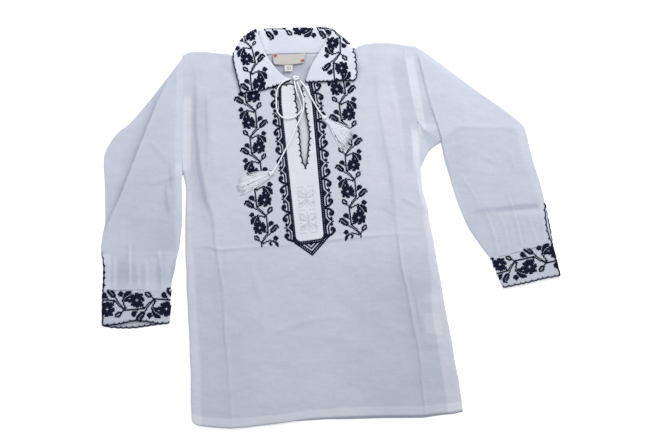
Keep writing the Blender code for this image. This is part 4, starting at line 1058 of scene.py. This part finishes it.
navy = thread_paint("navy_thread", (0.0065, 0.0088, 0.0275), 0.9, 1400, sheen=0.0)
BAR_HALF = 0.54       # half the width of a bar, in stitches
BAR_REACH = 0.675 * math.sqrt(2)
BAR_RIDGE = 0.72      # share of a bar's length that its ridge takes


def rests(piece):
    """Search tree of a cloth, for laying thread on it."""
    mesh = piece.data
    return BVHTree.FromPolygons([v.co for v in mesh.vertices], [p.vertices for p in mesh.polygons])


def top_of(tree, x, y):
    """Height of the cloth under a pattern point, or None beside it."""
    hit = tree.ray_cast(Vector(in_frame((x, y, 40.0))), Vector((0, 0, -1)))[0]
    return None if hit is None else hit.z / MM


def stitch_shape():
    """Points and faces of one cross of side 1, its second bar over the first."""
    points, faces = [], []
    for turn, low, high in ((45, -0.12, 0.17), (-45, -0.10, 0.27)):
        c, s = math.cos(math.radians(turn)), math.sin(math.radians(turn))
        k = len(points)
        for u, w in ((-1, -1), (1, -1), (1, 1), (-1, 1), (-BAR_RIDGE, 0), (BAR_RIDGE, 0)):
            z = low if w else high
            u, w = u * BAR_REACH, w * BAR_HALF
            points.append((u * c - w * s, u * s + w * c, z))
        faces += [(k, k + 1, k + 5, k + 4), (k + 2, k + 3, k + 4, k + 5), (k + 1, k + 2, k + 5),
                  (k + 3, k, k + 4), (k + 3, k + 2, k + 1, k)]
    return np.array(points), faces


def cross_stitch(name, places, paint, slot):
    """One mesh of crosses; each place is x, y, height, turn, size."""
    shape, shape_faces = stitch_shape()
    px, py, pz, turn, size = np.array(places, float).T[..., None]
    c, s = np.cos(turn), np.sin(turn)
    points = np.stack([px + size * (shape[:, 0] * c - shape[:, 1] * s),
                       py + size * (shape[:, 0] * s + shape[:, 1] * c), pz + size * shape[:, 2]], -1)
    faces = [tuple(n * len(shape) + i for i in face) for n in range(len(places)) for face in shape_faces]
    new_piece(name, points.reshape(-1, 3), faces, paint, slot, smooth_faces=False)


MOTIFS = {
    "flower": (".....##......", ".##.####.##..", ".##########..", ".###########.", "..##########.",
     "######.######", "#####...#####", "######.######", ".###########.", ".############", ".######.####.",
     ".##.####..##.", ".....###....."),
    "tulip": ("....####..", "..####.##.", ".####.###.", "####.####.", "####.####.", "###.##.###",
     "###.##.###", "##.#######"),
    "bud": ("..##.", ".####", "#####", ".####", "..#.."),
    "round_leaf": (".###.", "#####", "#####", "####.", "##..."),
    "curled_leaf": ("....####.", "...#####.", "..###..##", ".###.##.#", "###.###..", "##.###...",
     "#####....", "###......"),
    "loop_leaf": ("###..", "#.##.", "#..##", "##..#", ".####", "...##"),
    "last_tulip": ("....###...", "..###.##..", ".###...##.", "###....##.", "###...##..", "##........",
     "#........."),
}
# half a repeat of the vine: rows run down its stem, columns across
VINE_ROWS = 27
STEM, NEXT_STEM = 19, 11
VINE = (
    ("bud", 2, -4), ("tulip", 3, 0), ("flower", 5, 6), ("round_leaf", 21, 7), ("curled_leaf", 22, 11),
    ("loop_leaf", 5, 20),
)
VINE_LINES = (
    ((19, 0), (19, 17), (16, 21), (11, 27)), ((19, 0), (16, 1), (13, 0), (11, -1), (8, 0)),
    ((18, 0), (17, 2)), ((22, 18), (17, 22), (13, 26)), ((20, 12), (21, 11)), ((16, 16), (19, 18)),
    ((9, 25), (11, 27)),
)
VINE_END = (("bud", 2, -4), ("last_tulip", 3, 0))
VINE_END_LINES = (((19, 0), (19, 4)), *VINE_LINES[1:3])


def chart(motifs, lines):
    """Columns and rows of all the stitches of some motifs and lines."""
    cells = {(col + c, row + r) for name, col, row in motifs for r, line in enumerate(MOTIFS[name])
             for c, mark in enumerate(line) if mark == "#"}
    for corners in lines:
        for (c0, r0), (c1, r1) in zip(corners, corners[1:]):
            count = max(abs(c1 - c0), abs(r1 - r0))
            cells |= {(round(c0 + (c1 - c0) * k / count), round(r0 + (r1 - r0) * k / count))
                      for k in range(count + 1)}
    return sorted(cells)


def vine(nodes, side, ends=False):
    """Places of a vine's stitches, from node to node of its stem: x, y, turn, size."""
    places = []
    nodes = np.array(nodes, float)
    for n, (here, ahead) in enumerate(zip(nodes, nodes[1:])):
        way = ahead - here
        for _ in range(5):
            square = np.array((-way[1], way[0])) / VINE_ROWS
            way = ahead - here + (STEM - NEXT_STEM) * side * square
        cells = chart(VINE_END, VINE_END_LINES) if ends and n == len(nodes) - 2 else chart(VINE, VINE_LINES)
        size = np.linalg.norm(square)
        turn = math.atan2(way[1], way[0])
        for col, row in cells:
            x, y = here + way * row / VINE_ROWS + (col - STEM) * side * square
            places.append((x, y, turn, size))
        side = -side
    return places


def lay(places, tree, keep=None):
    """Stitches laid on a cloth: only where the cloth is, and where keep allows."""
    laid = []
    for x, y, turn, size in places:
        z = top_of(tree, x, y) if keep is None or keep(x, y) else None
        if z is not None:
            laid.append((x, y, z + 0.05, turn, size))
    return laid


front_tree, collar_tree = rests(front), rests(collar)


def clear_of_collar(x, y):
    """Whether a place on the front is not under the collar's leaf."""
    return y < 190 or top_of(collar_tree, x, y) is None


# stem nodes of each vine, and the side it starts on
BODY_VINES = (
    (((-131.7, 208.8), (-113.5, 169.2), (-121.5, 128), (-105.3, 90.4), (-113.4, 48.7), (-95.4, 7.9),
     (-102.5, -32.6), (-85.2, -71.4)), -1),
    (((19.4, 222.3), (13.8, 180.8), (31, 140.9), (22.7, 101.3), (37, 63.3), (28.5, 21.6), (45.7, -18.8),
     (37.5, -58.8)), 1),
)
laid = [p for nodes, side in BODY_VINES for p in lay(vine(nodes, side, True), front_tree, clear_of_collar)]
cross_stitch("body_vines", laid, navy, "cotton_body")

# the collar's vine climbs the right leaf, runs along the roll and goes down the left leaf
COLLAR_VINES = (
    (((7, 215.8), (15.7, 257.7), (3.7, 295.9)), 1),
    (((-132, 298.3), (-120.6, 268.6), (-121.9, 228.1), (-106.5, 187.9)), -1),
)
ROLL_VINE = ((9.1, 298.2), (-28.7, 311.0), (-70.2, 298.2), (-111.9, 311.0))
laid = [p for nodes, side in COLLAR_VINES for p in lay(vine(nodes, side), collar_tree)]
cross_stitch("collar_vine", laid + lay(vine(ROLL_VINE, 1), rests(stand)), navy, "cotton_collar")

CUFF_VINES = {
    "cuff_left": (((-348.5, -117.6), (-304.1, -133.5), (-260.7, -116.6), (-216.4, -133.5)), 1),
    "cuff_right": (((238.2, -81.5), (274.1, -60.5), (320.5, -63.8), (361.4, -39.9)), -1),
}
laid = [p for name, (nodes, side) in CUFF_VINES.items()
        for p in lay(vine(nodes, side), rests(bpy.data.objects[name + "_cloth"]))]
cross_stitch("cuff_vines", laid, navy, "cotton_cuff")

# hook border beside the facing.  Rows from a triangle's middle -> where stitches stand,
# counted outward from the facing's edge.
HOOK_REPEAT = 28
BORDER_CELL = 1.52
ROW_BELOW = 1.55      # from row to row under the last triangle
HOOKS = (
    (3.9, 4.8, 5.7, 6.5, 10, 11), (3.9, 4.8, 5.7, 9), (3.9, 4.8, 7.9, 8.8, 9.7), (3.9, 7, 7.9, 8.8, 9.8),
    (6.4, 9.2), (5.8,), (5.7, 8.8, 9.7, 10.6), (5.7, 8.1, 9, 9.9, 10.8, 11.6),
    (5.7, 8, 8.9, 10.3, 11.1, 11.9), (5.7, 8.5, 10.3, 11.2, 12), (5.7, 9.8, 10.7, 11.6),
    (5.7, 8.8, 9.7, 10.6), (5.9, 6.9, 7.8, 8.7, 9.5), (4.6, 5.4, 6.2, 7.1, 8), (3.9, 4.8, 5.7),
)
BAND = (0.4, 0.95, 2.7, 3.2, 1.82)
# triangle heights, how far the band lies under the facing, how drawn in it is, and its side
HOOK_SIDES = (
    (FACING_LEFT, (210.5, 165.5, 122.7, 77.7, 34.0, -9.4), -0.6, 0.93, -1),
    (FACING_RIGHT, (218.0, 174.8, 130.7, 87.0, 41.0, -2.4), 0.0, 1.0, 1),
)
borders = []
for edge, triangles, tuck, drawn, side in HOOK_SIDES:
    last = (len(triangles) - 1) * HOOK_REPEAT
    for n in range(-10, last + 15):
        y = float(np.interp(n, np.arange(0, last + 1, HOOK_REPEAT), triangles)) - max(0, n - last) * ROW_BELOW
        if not -55 < y < 213:
            continue
        x, slope = float(read(edge, y)), float(read(edge, y + 3) - read(edge, y - 3)) / 6
        turn = math.atan2(1, slope)
        k = n % HOOK_REPEAT
        for out in HOOKS[min(k, HOOK_REPEAT - k)] + (BAND if n % 2 else BAND[:4]):
            reach = side * (out * drawn + tuck) * BORDER_CELL
            borders.append((x + reach * math.sin(turn), y - reach * math.cos(turn), turn, BORDER_CELL))

# peak under the facing: nested courses that follow its two sloping sides, and three
# that follow the facing's foot
PEAK_LEFT, PEAK_TIP, PEAK_RIGHT = np.array(((-54.4, -33.0), (-26.2, -53.0), (1.0, -22.0)))


def inside(corner, end, x, y):
    """Distance to the left of a line."""
    run = unit(end - corner)
    return run[0] * (y - corner[1]) - run[1] * (x - corner[0])


slopes = ((PEAK_LEFT, PEAK_TIP), (PEAK_TIP, PEAK_RIGHT))
for (first, end), other in zip(slopes, slopes[::-1]):
    run = unit(end - first)
    left = np.array((-run[1], run[0]))
    for course, depth in enumerate((0.9, 2.6, 4.3, 8.3, 12.4, 13.8)):
        for k in range(int(np.linalg.norm(end - first) / BORDER_CELL) + 1):
            x, y = first + run * (k + 0.5) * BORDER_CELL + left * depth
            if inside(*other, x, y) < depth - 0.4 or (course == 1 and k % 2):
                continue
            if read(FACING_FOOT, x) - y >= (0.3 if course < 3 else 4.6):
                borders.append((x, y, math.atan2(run[1], run[0]), BORDER_CELL))
for k in range(38):
    x = -53.0 + k * 1.35
    foot, slope = float(read(FACING_FOOT, x)), float(read(FACING_FOOT, x + 2) - read(FACING_FOOT, x - 2)) / 4
    for depth in (0.8, 4.0) if k % 2 else (0.8, 2.4, 4.0):
        borders.append((x, foot - depth, math.atan(slope), BORDER_CELL))
borders = [b for b in borders if inside(PEAK_LEFT, PEAK_TIP, b[0], b[1]) > 0.2 or b[1] > -33]
cross_stitch("hook_border", lay(borders, front_tree, clear_of_collar), navy, "cotton_body")

# ==== Scalloped edging: navy blanket stitch over every cut edge of the collar, the
# slit, the cuffs and the wrist slits.  One thick thread, with a small wedge of
# stitches where two scallops meet.

EDGE_THICK = 2.1
SCALLOP_DEEP = 1.8
WEDGE = 2.8


def scallops(line, inward, period, deep=SCALLOP_DEEP, wedge_long=WEDGE, lift=0.0):
    """Points and faces of an edging thread along a line; inward is +1 to its left."""
    line = along(line, 0.8)
    far = run_of(line)
    count = max(1, round(far[-1] / period))
    ahead = unit(np.gradient(line[:, :2], axis=0))
    square = np.stack([-ahead[:, 1], ahead[:, 0]], 1) * inward
    phase = far / far[-1] * count
    phase = phase + 0.12 * np.sin(phase * 1.9)
    path = line + (0.0, 0.0, lift)
    path[:, :2] += square * (deep * (0.35 - np.abs(np.sin(math.pi * phase)) ** 0.8))[:, None]
    near = bell(np.abs(phase - np.round(phase)), 0.13)
    parts = [tube(path, EDGE_THICK / 2 * (0.92 + 0.3 * near), 6, 1.9, 0.16)]
    for n in range(count + 1):
        k = int(np.argmin(np.abs(phase - n)))
        t = np.linspace(0, 1, 4)[:, None]
        wedge = np.hstack([path[k, :2] + square[k] * (wedge_long * t - 0.3), path[k, 2] + 0.10 + 0 * t])
        parts.append(tube(wedge, (1.05 - 0.75 * t[:, 0]) * EDGE_THICK / 2, 6))
    return parts


def on_facing(edge, inset):
    """An edge of the facing with its height, a little inside the cloth."""
    return [(x + inset, y, float(facing_height(x, y)) + 0.30) for x, y in edge]


leaf_edge = collar_grid[::2, -1].copy()
leaf_edge[:, 2] = np.where(leaf_edge[:, 2] > FOLD_RADIUS, leaf_edge[:, 2] + 0.15, 1.0)
half = len(leaf_edge) // 2
parts = (scallops(collar_grid[0, ::3], -1, 7.0, lift=0.15) + scallops(leaf_edge[:half + 1], -1, 9.4, 0.9, 1.7)
         + scallops(leaf_edge[half:], -1, 9.4) + scallops(collar_grid[-1, ::-3], -1, 7.2, lift=0.15))
new_piece("collar_edging", *join(parts), navy, "cotton_collar")

slit_down = [(-75.2, 207.0), (-66.0, 209.4), (-57.0, 209.6)] + [(x, y) for y, x in SLIT_LEFT[:-1]]
slit_up = [(x, y) for y, x in SLIT_RIGHT[-2::-1]]
parts = [p for edge, inset in ((slit_down, 0.2), (slit_up, -0.2))
         for p in scallops(on_facing(edge, inset), -1, 9.4, 1.6)]
new_piece("slit_edging", *join(parts), navy, "cotton_facing")

parts = []
for name, side in (("cuff_left", 1), ("cuff_right", -1)):
    upper, under = cuff_layers[name]
    parts += scallops(upper[-1, ::4], side, 8.6, 1.3, lift=0.1)
    parts += scallops(under[-1, ::4], side, 8.6, 1.3, lift=0.45)
    parts += scallops(upper[::-4, 0] + (0.7 * side, 0, 0), -side, 11.0, 1.0, 1.7, lift=0.7)
    parts += scallops(under[::-4, 0], -side, 11.0, 1.0, 1.7, lift=0.65)
new_piece("cuff_edging", *join(parts), navy, "cotton_cuff")

# wrist slits: the lip on top, and the lip under it
WRIST_SLITS = (
    (((-339.8, -48, 1.9), (-337, -60, 2.3), (-335.2, -72, 2.4), (-334.8, -88, 2.4), (-335.2, -100, 2.6),
     (-336.8, -106, 3.2)), 1),
    (((-339.6, -50, 0.9), (-337, -64, 0.9), (-336.2, -80, 0.9), (-336.2, -103, 0.9)), 1),
    (((321.6, 26, 2), (321.8, 14, 2.6), (323, -4, 2.8), (324.6, -16, 2.8), (329.4, -31, 2.7),
     (331.8, -36, 3.2)), -1),
    (((322.8, 26, 0.9), (325.2, 8, 0.9), (328.4, -8, 0.9), (331.2, -31, 0.9)), -1),
)
parts = [p for line, inward in WRIST_SLITS for p in scallops(line, inward, 10.4, 1.2)]
new_piece("wrist_slit_edging", *join(parts), navy, "cotton_sleeve")

# ==== White work on the foot of the facing: two eight-petalled stars in raised satin
# bars, framed by fine drawn-thread lines.

white_thread = thread_paint("white_thread", (0.640, 0.650, 0.712), 0.7, 1400)
drawn_thread = thread_paint("drawn_thread", (0.43, 0.44, 0.495), 0.9, 1400, sheen=0.0)
STAR_CENTRES = ((-35.8, 34.0), (-32.4, -1.0))
STAR_TILT = math.radians(-6.0)
# dashes at a star's sides, from its middle row outward: where each begins, how long it is
STAR_SIDES = ((9.4, 3.2), (10.2, 2.4), (8.6, 2.0), (9.6, 3.0), (8.8, 4.0), (10.4, 1.6))
RULE_CENTRES = ((-37.4, 51.6), (-34.0, 16.4), (-31.0, -18.4))
BAR_RADIUS = 0.40
ROW_STEP = 2.2        # from row to row of the dashes beside a star


def bar(centre, u0, v0, u1, v1):
    """A short straight thread on the facing, from point to point of a star's own axes."""
    c, s = math.cos(STAR_TILT), math.sin(STAR_TILT)
    t = np.linspace(0, 1, 3)
    u, v = u0 + (u1 - u0) * t, v0 + (v1 - v0) * t
    x, y = centre[0] + u * c + v * s, centre[1] - u * s + v * c
    return tube(np.column_stack([x, y, facing_height(x, y) + FACING_THICK / 2 - 0.08]), BAR_RADIUS, 5)


bars, lines = [], []
for centre in STAR_CENTRES:
    for step in range(1, 13):
        v = step * 1.1
        low, high = 0.5 + max(0.0, v - 7.0), 0.5 + min(v, 7.4)
        if high - low < 0.8:
            continue
        for su, sv in ((-1, -1), (-1, 1), (1, -1), (1, 1)):
            bars.append(bar(centre, su * low, sv * v, su * high, sv * v))
            bars.append(bar(centre, su * v, sv * low, su * v, sv * high))
for centre in RULE_CENTRES:
    for side in (-1, 1):
        lines += [bar(centre, side * u, 0, side * (u + 1.1), 0) for u in 3.0 + 1.7 * np.arange(6)]
for centre in STAR_CENTRES:
    lines += [bar(centre, 0, v + 0.3, 0, v + 1.3) for v in 1.8 * np.arange(-8, 8)]
    for side in (-1, 1):
        for row, (start, long) in enumerate(STAR_SIDES):
            for v in (-ROW_STEP * (row + 1), ROW_STEP * (row + 1)):
                lines.append(bar(centre, side * start, v, side * (start + long), v))
new_piece("facing_stars", *join(bars), white_thread, "cotton_facing")
new_piece("facing_drawn_lines", *join(lines), drawn_thread, "cotton_facing")

# ==== Knot of the tie cord at the neck: the cord turned round itself and drawn up.
# It fills the box of its own solid.

low, high = (np.array(c) / MM - PATTERN_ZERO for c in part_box("tie_knot"))
middle, reach = (low + high) / 2, (high - low) / 2
w = np.linspace(0, 2 * math.pi, 96)
ring = 0.60 + 0.26 * np.cos(3 * w)
path = np.column_stack([
    middle[0] + (reach[0] + 0.4) * ring * np.cos(2 * w), middle[1] + (reach[1] + 0.4) * ring * np.sin(2 * w),
    middle[2] + 0.55 * reach[2] * np.sin(3 * w),
])
new_piece("tie_knot_turns", *tube(path, CORD_THICK / 2, 10, CORD_TWIST, CORD_FLUTES), cord_paint, "cord_white",
          "tie_knot")

# ==== Marks on the labels: a plain number on the size tab, and plain red corner
# marks on the neck label.

red_thread = thread_paint("red_thread", (0.33, 0.10, 0.09), 0.8, 1400)
grey_thread = thread_paint("grey_thread", (0.10, 0.10, 0.11), 0.8, 1400, sheen=0.0)
DIGITS = (
    ((-66.0, 237.2), (-65.2, 237.8), (-65.2, 232.9)),
    ((-62.0, 237.8), (-63.5, 236.4), (-63.5, 234.3), (-62.0, 232.9), (-60.5, 234.3), (-60.5, 236.4),
     (-62.0, 237.8)),
)
CORNER_MARKS = (
    (-86.4, 256.2), (-84.2, 256.2), (-82.0, 256.2), (-85.3, 254.6), (-83.1, 254.6), (-84.2, 253.0),
    (-43.0, 248.2), (-40.8, 248.4), (-41.9, 246.7), (-44.1, 246.5), (-40.9, 246.6),
)
tab_tree, label_tree = (rests(bpy.data.objects[name]) for name in ("size_label_cloth", "neck_label_cloth"))
digits = []
for points in DIGITS:
    line = [(x, y, top_of(tab_tree, x, y) + 0.05) for x, y in points]
    digits.append(tube(along(line, 0.6), 0.34, 5))
new_piece("size_number", *join(digits), grey_thread, "label_cream")
marks = lay([(x, y, 0.0, 1.5) for x, y in CORNER_MARKS], label_tree)
cross_stitch("label_marks", marks, red_thread, "label_cream")
